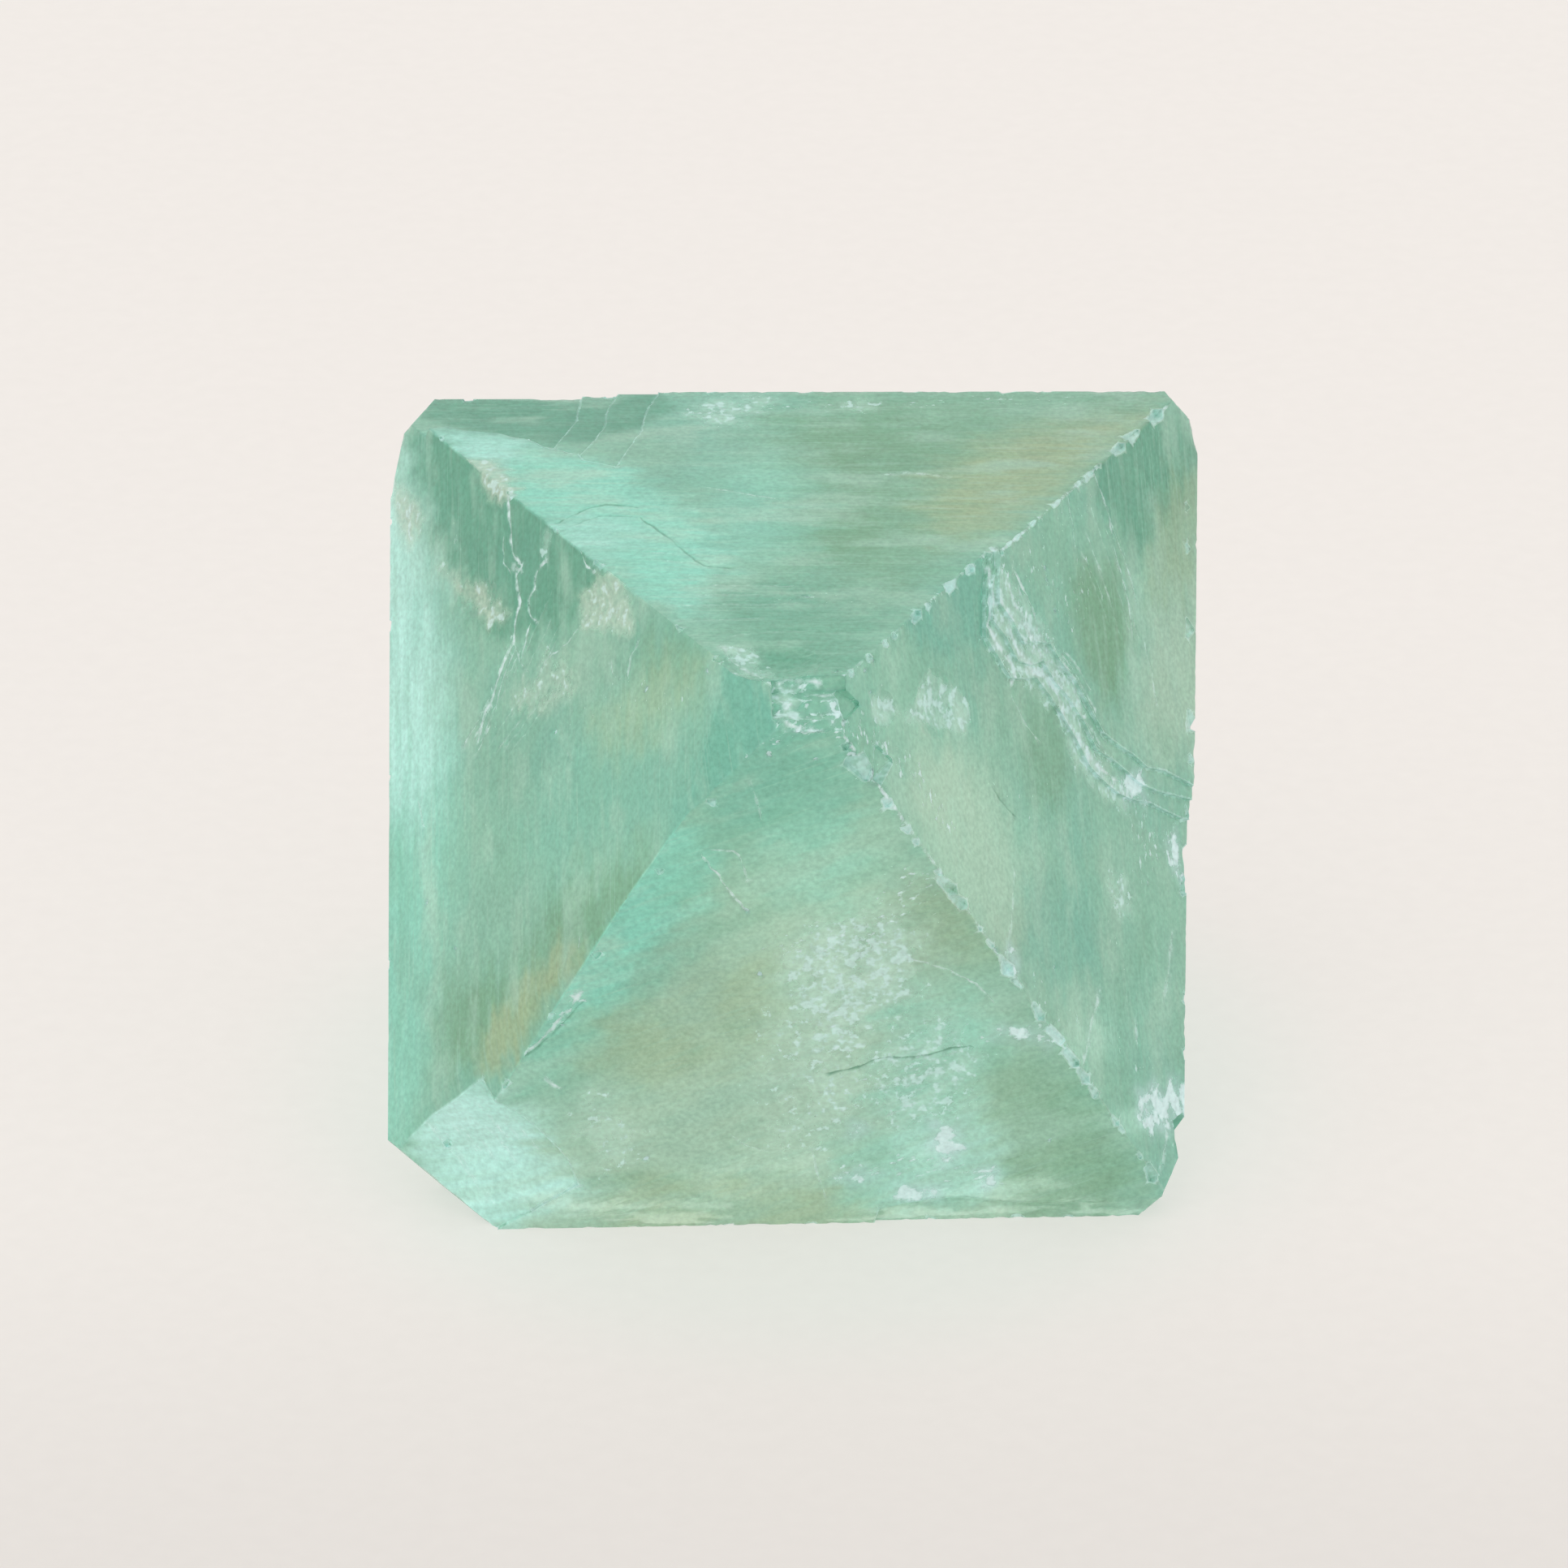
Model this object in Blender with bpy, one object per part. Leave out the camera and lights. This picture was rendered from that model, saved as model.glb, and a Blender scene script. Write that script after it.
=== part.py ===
"""Cleavage octahedron of pale green fluorite, lying on one of its eight faces.

The stone is one solid. It is made the way it came about: eight flat cleavage faces, then the
breaks across its corners and edges, the thin slabs that came away from its faces, the stepped
break at its front tip, the shell-shaped scars, and last the small chips along its edges.

Lengths in the tables are in millimetres and angles in degrees. MM turns a length into metres.
+Z is up. The stone is shaped round its own centre and then set down with the middle of its
footprint at the origin.
"""

import math
import random

import bmesh
import bpy
from mathutils import Matrix, Vector

MM = 0.001
NODE = "fluorite_octahedron"
BLOCK_SIZE = 70.0
CUT_CLEARANCE = 2.0

# Azimuth 0 is +X (right), 90 is +Y (back) and -90 is the front. Each face or break is a plane:
# azimuth and elevation of its outward direction, and its distance from the stone's centre.
FACES = {
    "top": (0.0, 90.0, 15.75),
    "base": (0.0, -90.0, 15.75),
    "left": (-150.8, 20.3, 15.43),
    "right": (-27.2, 19.6, 15.40),
    "front": (-88.0, -14.7, 15.31),
    "back": (90.2, 18.0, 17.18),
    "back_left": (150.7, -20.9, 15.45),
    "back_right": (29.4, -23.2, 15.95),
}

BREAKS = {
    "upper left corner": (161.6, 38.4, 25.33),
    "upper left corner, outer side": (177.2, 12.0, 21.45),
    "upper right corner": (18.3, 38.6, 26.24),
    "upper right corner, outer side": (3.3, 13.4, 22.54),
    "lower right corner": (-32.2, -40.5, 25.13),
    "lower right corner, outer side": (-14.2, -19.0, 23.23),
    "lower left corner": (-147.0, -41.0, 24.0),
    "tail": (93.0, -40.0, 24.9),
    "tail, upper side": (82.0, -20.0, 25.2),
    "front left edge, upper part": (-130.7, 20.3, 19.14),
    "front left edge, lower part": (-141.8, 14.3, 17.01),
}

# Each corner of the unbroken octahedron is where three of the faces meet.
CORNERS = {
    "upper_left": ("top", "left", "back"),
    "upper_right": ("top", "right", "back"),
    "tip": ("top", "left", "right"),
    "lower_left": ("base", "left", "front"),
    "lower_right": ("base", "right", "front"),
    "tail": ("base", "back_left", "back_right"),
}

# Places on a face are (along, across) in millimetres: from its first corner towards its second,
# and from that edge towards its third corner.
FACE_CORNERS = {
    "top": ("upper_left", "upper_right", "tip"),
    "base": ("lower_left", "lower_right", "tail"),
    "left": ("upper_left", "tip", "lower_left"),
    "right": ("upper_right", "tip", "lower_right"),
    "front": ("lower_left", "lower_right", "tip"),
    "back": ("upper_left", "upper_right", "tail"),
    "back_left": ("upper_left", "lower_left", "tail"),
    "back_right": ("upper_right", "lower_right", "tail"),
}

# The right face has lost a thin slab on its lower left. The broken edge of what is left runs down
# the face in terraces: the line is the foot of the lowest one.
SCARP_FOOT = [(20.5, 0.1), (22.0, 1.6), (22.9, 3.0), (21.9, 5.5), (19.8, 6.4),
              (18.6, 8.8), (17.7, 11.8), (14.9, 14.8), (12.4, 16.5), (9.9, 18.1)]
SCARP_CLOSING = [(8.5, 21.0), (18.5, 40.0), (46.5, -4.0), (19.0, -4.0)]
SCARP_SLAB = 0.5
SCARP_TERRACES = 3
SCARP_TERRACE_SHIFT = (-0.75, -0.5)

# Thin slabs that came away from the other faces: face, thickness and outline. The one at the back
# left of the top face thins out to the right in three terraces.
SLABS = [
    ("top", 0.42, [(-2.8, -1.1), (-0.8, 4.5), (3.2, 3.9), (6.6, 5.2), (8.2, 5.7), (9.2, 2.8),
                   (9.7, -1.1)]),
    ("front", 0.22, [(22.3, -1.0), (22.8, 0.9), (25.3, 1.5), (31.0, 1.0), (36.3, 1.2),
                     (40.0, 2.0), (40.0, -1.0)]),
    ("back", 0.45, [(-2.0, 11.0), (5.5, 9.2), (11.0, 12.2), (16.5, 11.0), (21.0, 15.0),
                    (24.0, 20.0), (23.0, 40.0), (-2.0, 40.0)]),
    ("back", 0.3, [(27.0, 9.0), (31.0, 7.5), (40.0, 9.0), (40.0, 30.0), (26.0, 30.0),
                   (24.5, 15.0)]),
    ("back_left", 0.4, [(9.0, 24.0), (12.5, 15.0), (19.0, 11.5), (25.5, 13.5), (31.0, 20.0),
                        (27.0, 40.0), (9.0, 40.0)]),
    ("back_right", 0.42, [(-3.0, 15.0), (6.0, 11.5), (12.5, 14.5), (19.0, 12.0), (24.0, 18.5),
                          (22.0, 40.0), (-3.0, 40.0)]),
    ("base", 0.3, [(10.0, 22.0), (14.5, 16.0), (21.0, 15.5), (26.5, 21.0), (25.0, 40.0),
                   (10.0, 40.0)]),
    ("top", 0.28, [(5.0, -1.1), (6.0, 3.6), (7.9, 6.3), (9.4, 7.0), (10.6, 3.4), (11.4, -1.1)]),
    ("top", 0.14, [(7.0, -1.1), (8.2, 3.4), (9.7, 7.7), (11.2, 8.4), (12.3, 4.4), (13.2, -1.1)]),
]

# The lower left corner of the front face slopes away behind a low scarp: outline and a point in the
# middle, with the depth of the slope at each.
CORNER_SLOPE = [(3.0, 7.2, 1.71), (4.4, 8.6, 1.18), (5.9, 7.6, 0.7), (7.1, 6.2, 0.42),
                (8.2, 4.6, 0.3), (8.7, 2.8, 0.12), (6.6, 1.2, 0.08), (4.4, -0.4, 0.35),
                (1.0, -1.5, 1.6), (-4.0, -1.5, 4.2), (-4.0, 7.0, 4.2)]
CORNER_SLOPE_HOLLOW = (5.2, 4.2, 1.25)

# The front tip is broken off in steps. The profile is (y, z) from the stone's centre, from the
# top face down to the front face, and it runs across the tip between two x values.
TIP_STEPS = [(-17.8, 15.75), (-18.05, 15.15), (-18.75, 15.0), (-18.95, 14.5), (-19.35, 14.35),
             (-19.55, 13.9)]
TIP_STEPS_X = (-0.9, 2.4)
TIP_STEPS_TURN = 5.0

# Shell-shaped scars: face, middle, level of the surface there below the face, half length and
# half width, depth and turn in the face.
SCARS = [
    ("top", (18.4, 29.3), 0.0, (2.3, 1.8), 0.38, 8.0),
    ("left", (13.0, 5.4), 0.0, (1.9, 0.8), 0.16, 40.0),
    ("left", (22.5, 1.6), 0.0, (1.5, 1.3), 0.16, 10.0),
    ("right", (28.5, 3.9), SCARP_SLAB, (1.8, 1.5), 0.15, 25.0),
    ("right", (32.5, 2.4), SCARP_SLAB, (1.0, 0.8), 0.18, 0.0),
    ("back", (29.0, 4.5), 0.0, (3.0, 2.0), 0.4, 20.0),
    ("back_left", (6.5, 9.5), 0.0, (2.6, 1.8), 0.35, -30.0),
    ("back_right", (29.0, 7.0), 0.0, (2.8, 2.2), 0.4, 50.0),
]
SCAR_CURVE = 3.0

# Small chips along the edges: two corners, how many, and the least and greatest chip radius. The
# skew makes most of them small.
CHIPPED_EDGES = [
    ("tip", "upper_right", 20, 0.22, 1.05),
    ("tip", "lower_right", 22, 0.22, 1.15),
    ("tip", "upper_left", 6, 0.2, 0.6),
    ("tip", "lower_left", 6, 0.2, 0.6),
    ("upper_left", "upper_right", 8, 0.25, 0.75),
    ("upper_right", "lower_right", 10, 0.25, 0.9),
    ("lower_left", "lower_right", 7, 0.25, 0.7),
    ("upper_left", "lower_left", 5, 0.25, 0.6),
    ("tail", "upper_left", 10, 0.3, 1.1),
    ("tail", "upper_right", 10, 0.3, 1.1),
    ("tail", "lower_left", 8, 0.3, 0.9),
    ("tail", "lower_right", 8, 0.3, 0.9),
]
EDGE_MARGIN = 0.08
CHIP_PLACE = (0.05, 0.95)
CHIP_SKEW = 2.2
CHIP_REACH = (0.85, 1.25)
CHIP_TILT = 14.0
CHIP_STAND_OFF = 0.5
CHIP_SEED = 48

# Larger chips that stand alone: face, place and radius.
LONE_CHIPS = [
    ("right", (11.8, 19.6), 1.5),
    ("right", (19.5, 29.6), 1.7),
    ("right", (35.0, 1.2), 1.0),
    ("right", (33.7, 4.5), 1.2),
]

# The broken edge of a slab changes its way after every step, by up to the reach to either side.
JAG_STEP = 1.3
JAG_REACH = 0.22
SLAB_SEED = 10

# Corners nearer than the weld are one, and faces that meet at less than the angle are one flat face.
WELD = 0.004
FLAT_ANGLE = 0.1

STONE_COLOUR = (0.33, 0.60, 0.45, 1.0)
STONE_ROUGHNESS = 0.3
STONE_TRANSMISSION = 0.6
STONE_IOR = 1.434


def clear_scene():
    """Start from an empty scene."""
    for item in list(bpy.data.objects):
        bpy.data.objects.remove(item, do_unlink=True)


def direction(azimuth, elevation):
    """Unit vector that points along an azimuth and an elevation."""
    turn = math.radians(azimuth)
    rise = math.radians(elevation)
    return Vector((math.cos(turn) * math.cos(rise), math.sin(turn) * math.cos(rise), math.sin(rise)))


def corner_point(name):
    """Corner of the unbroken octahedron, in metres from the stone's centre."""
    planes = [FACES[face] for face in CORNERS[name]]
    normals = [direction(azimuth, elevation) for azimuth, elevation, _ in planes]
    distances = Vector([distance * MM for _, _, distance in planes])
    return Matrix(normals).inverted() @ distances


def face_axes(face):
    """Origin, along, across and outward axes of a face."""
    first, second, third = [corner_point(name) for name in FACE_CORNERS[face]]
    outward = direction(*FACES[face][:2])
    along = second - first
    along = (along - outward * along.dot(outward)).normalized()
    across = outward.cross(along)
    if across.dot(third - first) < 0.0:
        across.negate()
    return first, along, across, outward


def place(face, along_mm, across_mm, height_mm=0.0):
    """Point on a face, or a height above it, in metres."""
    origin, along, across, outward = face_axes(face)
    return origin + (along * along_mm + across * across_mm + outward * height_mm) * MM


def cleave(mesh, azimuth, elevation, distance):
    """Cut the mesh with a plane, drop what is beyond it and close the cut."""
    outward = direction(azimuth, elevation)
    geometry = mesh.verts[:] + mesh.edges[:] + mesh.faces[:]
    cut = bmesh.ops.bisect_plane(
        mesh, geom=geometry, dist=1e-7, plane_co=outward * distance * MM,
        plane_no=outward, clear_outer=True)
    rim = [item for item in cut["geom_cut"] if isinstance(item, bmesh.types.BMEdge)]
    bmesh.ops.edgeloop_fill(mesh, edges=rim)


def cleaved_block():
    """The octahedron with its flat faces, broken corners and broken edges."""
    mesh = bmesh.new()
    bmesh.ops.create_cube(mesh, size=BLOCK_SIZE * MM)
    for plane in list(FACES.values()) + list(BREAKS.values()):
        cleave(mesh, *plane)
    return mesh


def jagged(outline, seed):
    """Break the straight runs of an outline into short ones that wander to either side."""
    wander = random.Random(seed)
    points = []
    for start, end in zip(outline, outline[1:] + outline[:1]):
        start, end = Vector(start), Vector(end)
        run = end - start
        pieces = max(1, round(run.length / JAG_STEP))
        side = Vector((-run.y, run.x)).normalized()
        points.append(start)
        for piece in range(1, pieces):
            stray = side * wander.uniform(-JAG_REACH, JAG_REACH)
            points.append(start + run * (piece / pieces) + stray)
    return points


def slab_cutter(face, outline, depths, hollow=None):
    """Closed solid that stands on an outline below a face and reaches out past the face.

    Its floor is one flat piece, or a fan of slopes around a hollow (along, across, depth).
    """
    mesh = bmesh.new()
    floor = [mesh.verts.new(place(face, x, y, -depth)) for (x, y), depth in zip(outline, depths)]
    roof = [mesh.verts.new(place(face, x, y, CUT_CLEARANCE)) for x, y in outline]
    middle = mesh.verts.new(place(face, hollow[0], hollow[1], -hollow[2])) if hollow else None
    mesh.faces.new(roof)
    if not hollow:
        mesh.faces.new(floor)
    for i in range(len(outline)):
        j = (i + 1) % len(outline)
        mesh.faces.new((floor[i], floor[j], roof[j], roof[i]))
        if hollow:
            mesh.faces.new((floor[i], floor[j], middle))
    bmesh.ops.triangulate(mesh, faces=mesh.faces[:])
    bmesh.ops.recalc_face_normals(mesh, faces=mesh.faces[:])
    return mesh


def flat_slab_cutter(face, thickness, outline, seed):
    """Cutter for a slab of even thickness with a jagged edge."""
    points = jagged(outline, seed)
    return slab_cutter(face, points, [thickness] * len(points))


def scarp_cutters():
    """The terraces of the right face's broken slab, from the highest to the lowest."""
    for terrace in range(1, SCARP_TERRACES + 1):
        back_steps = SCARP_TERRACES - terrace
        foot = [(x + SCARP_TERRACE_SHIFT[0] * back_steps, y + SCARP_TERRACE_SHIFT[1] * back_steps)
                for x, y in SCARP_FOOT]
        thickness = SCARP_SLAB * terrace / SCARP_TERRACES
        yield flat_slab_cutter("right", thickness, foot + SCARP_CLOSING, seed=terrace)


def corner_slope_cutter():
    """The sloping break at the lower left corner of the front face."""
    outline = [(x, y) for x, y, _ in CORNER_SLOPE]
    depths = [depth for _, _, depth in CORNER_SLOPE]
    return slab_cutter("front", outline, depths, CORNER_SLOPE_HOLLOW)


def tip_steps_cutter():
    """The stepped break across the front tip."""
    back_y, top_z = TIP_STEPS[0]
    front_y, low_z = TIP_STEPS[-1]
    clear_y = front_y - CUT_CLEARANCE
    clear_z = top_z + CUT_CLEARANCE
    profile = TIP_STEPS + [(clear_y, low_z), (clear_y, clear_z), (back_y, clear_z)]
    mesh = bmesh.new()
    start, end = TIP_STEPS_X
    outline = mesh.faces.new([mesh.verts.new(Vector((start, y, z)) * MM) for y, z in profile])
    extruded = bmesh.ops.extrude_face_region(mesh, geom=[outline])["geom"]
    moved = [item for item in extruded if isinstance(item, bmesh.types.BMVert)]
    bmesh.ops.translate(mesh, verts=moved, vec=Vector((end - start, 0.0, 0.0)) * MM)
    pivot = Vector((start, back_y, top_z)) * MM
    turn = Matrix.Rotation(math.radians(TIP_STEPS_TURN), 3, "Z")
    bmesh.ops.rotate(mesh, verts=mesh.verts[:], cent=pivot, matrix=turn)
    bmesh.ops.triangulate(mesh, faces=mesh.faces[:])
    bmesh.ops.recalc_face_normals(mesh, faces=mesh.faces[:])
    return mesh


def scar_cutter(face, middle, level, half_sizes, depth, turn):
    """Flattened ball that leaves a shell-shaped scar of the given size and depth."""
    ball_height = SCAR_CURVE * depth
    spread = 1.0 / math.sqrt(1.0 - (1.0 - 1.0 / SCAR_CURVE) ** 2)
    radii = Vector((half_sizes[0] * spread, half_sizes[1] * spread, ball_height)) * MM
    _, along, across, outward = face_axes(face)
    axes = Matrix((along, outward.cross(along), outward)).transposed()
    mesh = bmesh.new()
    bmesh.ops.create_icosphere(mesh, subdivisions=3, radius=1.0)
    bmesh.ops.scale(mesh, verts=mesh.verts[:], vec=radii)
    bmesh.ops.rotate(mesh, verts=mesh.verts[:], matrix=Matrix.Rotation(math.radians(turn), 3, "Z"))
    bmesh.ops.rotate(mesh, verts=mesh.verts[:], matrix=axes)
    bmesh.ops.translate(mesh, verts=mesh.verts[:], vec=place(face, *middle, ball_height - depth - level))
    return mesh


def chip_shape(centre, radius, dice):
    """Small octahedron that lies nearly parallel to the stone, so chips follow its cleavage."""
    mesh = bmesh.new()
    for name in CORNERS:
        reach = radius * MM * dice.uniform(*CHIP_REACH)
        mesh.verts.new(corner_point(name).normalized() * reach)
    bmesh.ops.convex_hull(mesh, input=mesh.verts[:])
    for axis in "XYZ":
        turn = Matrix.Rotation(math.radians(dice.uniform(-CHIP_TILT, CHIP_TILT)), 3, axis)
        bmesh.ops.rotate(mesh, verts=mesh.verts[:], matrix=turn)
    bmesh.ops.translate(mesh, verts=mesh.verts[:], vec=centre)
    bmesh.ops.recalc_face_normals(mesh, faces=mesh.faces[:])
    return mesh


def chip_cutters(stone):
    """Chips along every edge, seated on the stone as it is by now, and the lone ones."""
    dice = random.Random(CHIP_SEED)
    for first, second, count, least, greatest in CHIPPED_EDGES:
        start, end = corner_point(first), corner_point(second)
        for index in range(count):
            share = (index + dice.uniform(*CHIP_PLACE)) / count
            point = start.lerp(end, EDGE_MARGIN + (1.0 - 2.0 * EDGE_MARGIN) * share)
            radius = least + (greatest - least) * dice.random() ** CHIP_SKEW
            yield chip_shape(seat(stone, point, radius), radius, dice)
    for face, middle, radius in LONE_CHIPS:
        yield chip_shape(seat(stone, place(face, *middle), radius), radius, dice)


def seat(stone, point, radius):
    """Centre for a chip: just outside the stone's surface where that is nearest to a point."""
    _, surface, _, _ = stone.closest_point_on_mesh(point)
    return surface + point.normalized() * radius * MM * CHIP_STAND_OFF


def cut_away(stone, cutter_mesh):
    """Take a cutter out of the stone with an exact Boolean, and keep the result."""
    data = bpy.data.meshes.new("cutter")
    cutter_mesh.to_mesh(data)
    cutter_mesh.free()
    cutter = bpy.data.objects.new("cutter", data)
    bpy.context.scene.collection.objects.link(cutter)
    cutter.hide_render = True
    cutter.display_type = "WIRE"
    boolean = stone.modifiers.new("cut", "BOOLEAN")
    boolean.operation = "DIFFERENCE"
    boolean.solver = "EXACT"
    boolean.object = cutter
    graph = bpy.context.evaluated_depsgraph_get()
    result = bpy.data.meshes.new_from_object(stone.evaluated_get(graph))
    stone.modifiers.remove(boolean)
    bpy.data.objects.remove(cutter, do_unlink=True)
    stone.data = result


def connected_faces(first):
    """All the faces that can be reached from one face across edges."""
    reached = {first}
    waiting = [first]
    while waiting:
        neighbours = {face for edge in waiting.pop().edges for face in edge.link_faces} - reached
        reached |= neighbours
        waiting.extend(neighbours)
    return reached


def drop_crumbs(mesh):
    """Keep the stone and delete any crumb that a chip has cut loose from it."""
    left = set(mesh.faces)
    pieces = []
    while left:
        pieces.append(connected_faces(next(iter(left))))
        left -= pieces[-1]
    pieces.sort(key=len)
    for crumb in pieces[:-1]:
        bmesh.ops.delete(mesh, geom=list(crumb), context="FACES")


def tidy_surface(stone):
    """Weld slivers, lose crumbs and make every face a triangle."""
    mesh = bmesh.new()
    mesh.from_mesh(stone.data)
    drop_crumbs(mesh)
    bmesh.ops.remove_doubles(mesh, verts=mesh.verts[:], dist=WELD * MM)
    bmesh.ops.dissolve_degenerate(mesh, edges=mesh.edges[:], dist=WELD * MM)
    bmesh.ops.dissolve_limit(mesh, angle_limit=math.radians(FLAT_ANGLE), verts=mesh.verts[:],
                             edges=mesh.edges[:])
    bmesh.ops.triangulate(mesh, faces=mesh.faces[:])
    bmesh.ops.dissolve_degenerate(mesh, edges=mesh.edges[:], dist=WELD * MM)
    bmesh.ops.recalc_face_normals(mesh, faces=mesh.faces[:])
    mesh.to_mesh(stone.data)
    mesh.free()


def set_down(stone):
    """Move the stone so that the middle of its footprint is the origin and it rests at z = 0."""
    points = [vertex.co for vertex in stone.data.vertices]
    low = Vector([min(point[axis] for point in points) for axis in range(3)])
    high = Vector([max(point[axis] for point in points) for axis in range(3)])
    foot = Vector(((low.x + high.x) / 2.0, (low.y + high.y) / 2.0, low.z))
    stone.data.transform(Matrix.Translation(-foot))


def fluorite():
    """Pale green, glassy and a little cloudy."""
    material = bpy.data.materials.new("fluorite")
    material.use_nodes = True
    shader = material.node_tree.nodes["Principled BSDF"]
    shader.inputs["Base Color"].default_value = STONE_COLOUR
    shader.inputs["Roughness"].default_value = STONE_ROUGHNESS
    shader.inputs["Metallic"].default_value = 0.0
    shader.inputs["Transmission Weight"].default_value = STONE_TRANSMISSION
    shader.inputs["IOR"].default_value = STONE_IOR
    return material


def build_stone():
    """Make the stone, break by break."""
    mesh = cleaved_block()
    stone = bpy.data.objects.new(NODE, bpy.data.meshes.new(NODE))
    bpy.context.scene.collection.objects.link(stone)
    mesh.to_mesh(stone.data)
    mesh.free()
    for cutter in scarp_cutters():
        cut_away(stone, cutter)
    for number, (face, thickness, outline) in enumerate(SLABS):
        cut_away(stone, flat_slab_cutter(face, thickness, outline, seed=SLAB_SEED + number))
    cut_away(stone, corner_slope_cutter())
    cut_away(stone, tip_steps_cutter())
    for scar in SCARS:
        cut_away(stone, scar_cutter(*scar))
    for cutter in list(chip_cutters(stone)):
        cut_away(stone, cutter)
    tidy_surface(stone)
    set_down(stone)
    stone.data.materials.clear()
    stone.data.materials.append(fluorite())
    return stone


def main():
    clear_scene()
    build_stone()


main()
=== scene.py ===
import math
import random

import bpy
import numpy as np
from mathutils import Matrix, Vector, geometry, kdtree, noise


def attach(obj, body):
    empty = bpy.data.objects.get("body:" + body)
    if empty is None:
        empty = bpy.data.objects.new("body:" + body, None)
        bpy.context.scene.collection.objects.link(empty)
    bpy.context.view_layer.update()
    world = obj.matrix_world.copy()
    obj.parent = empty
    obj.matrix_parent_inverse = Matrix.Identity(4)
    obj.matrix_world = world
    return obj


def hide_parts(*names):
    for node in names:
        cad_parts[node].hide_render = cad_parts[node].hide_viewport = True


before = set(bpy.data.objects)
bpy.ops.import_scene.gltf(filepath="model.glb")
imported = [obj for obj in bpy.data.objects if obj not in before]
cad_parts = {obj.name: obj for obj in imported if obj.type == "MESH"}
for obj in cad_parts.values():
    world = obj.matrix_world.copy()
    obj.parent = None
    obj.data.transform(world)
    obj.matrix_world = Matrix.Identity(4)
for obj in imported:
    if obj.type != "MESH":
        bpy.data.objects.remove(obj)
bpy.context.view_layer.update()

# The dressed fluorite octahedron: the CAD solid's faces and breaks with fine relief, chipped
# edges, cracks and cloudy green stone.
#
# Lengths are in millimetres until a mesh, light or camera is made. A place on a cleavage face is
# (along, across): from the face's first corner towards its second, and from that edge towards its
# third corner. Paths and outlines are written as "along,across along,across".

MM = 0.001
NODE = "fluorite_octahedron"

# ---------------------------------------------------------------- the stone's faces

# Each cleavage face: nominal azimuth and elevation, its corners, and the direction of its fine growth
# and cleavage streaks from its first edge. Angles are in degrees.
FACES = {
    "top": ((0.0, 90.0), ("upper_left", "upper_right", "tip"), 1.0),
    "base": ((0.0, -90.0), ("lower_left", "lower_right", "tail"), 0.0),
    "left": ((-150.8, 20.3), ("upper_left", "tip", "lower_left"), 57.0),
    "right": ((-27.2, 19.6), ("upper_right", "tip", "lower_right"), 66.0),
    "front": ((-88.0, -14.7), ("lower_left", "lower_right", "tip"), 24.0),
    "back": ((90.2, 18.0), ("upper_left", "upper_right", "tail"), 4.0),
    "back_left": ((150.7, -20.9), ("upper_left", "lower_left", "tail"), 60.0),
    "back_right": ((29.4, -23.2), ("upper_right", "lower_right", "tail"), 58.0),
}
CORNERS = {
    "upper_left": ("top", "left", "back"),
    "upper_right": ("top", "right", "back"),
    "tip": ("top", "left", "right"),
    "lower_left": ("base", "left", "front"),
    "lower_right": ("base", "right", "front"),
    "tail": ("base", "back_left", "back_right"),
}
SAME_DIRECTION = math.cos(math.radians(1.0))

# Spacing of the mesh: along edges and lines, beside edges, on the faces towards the viewer, on the
# others, and on breaks. No point inside a region comes nearer to its edges than the gap.
EDGE_STEP = 0.25
LINE_STEP = 0.15
BORDER_ROW = 0.14
EDGE_GAP = 0.03
NEAR_STEP = 0.34
FAR_STEP = 0.46
BREAK_STEP = 0.3
NEAR_FACES = ("top", "left", "right", "front")
FAR_FACES = ("back", "back_left", "back_right")

# A triangle this near a plane belongs to it; slivers are told by their place alone.
FLAT_TOLERANCE = 0.004
SLIVER_AREA = 0.001

# Triangles above the first area say where a cleavage face lies. Regions above the second are
# whole parts of it, and smaller ones are breaks.
FACE_AREA = 0.01
WHOLE_FACE_AREA = 1.5

# Edges between regions whose directions have a lower cosine than this are worn.
RIDGE_SHARPNESS = 0.97

# Added to the streak coordinates from face to face, so that their patterns differ.
FACE_SPACING = 50.0

# Lines run on over breaks that look no further away from the face than this cosine.
STEEPEST_MARKED = 0.35

# How far off a face a region counts that looks square to it, in millimetres.
TURNED_AWAY = 6.0

# A break smaller than the first area is white, as much as its edge is worn but at least by the share
# below; one larger than the second stays green.
CHIP_AREAS = (0.8, 3.2)
CHIP_NORMAL_WHITE = 0.3

# Steep walls of ledges and scarps, by the cosine of their lean, are at least this white.
STEEP_WALL = 0.6
WALL_WHITE = 0.55

# Scars on the faces away from the viewer get uneven outlines, from nothing to all at these
# distances from the face's edges.
EDGE_ZONE = (1.2, 3.0)

# ---------------------------------------------------------------- what marks the faces

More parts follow.
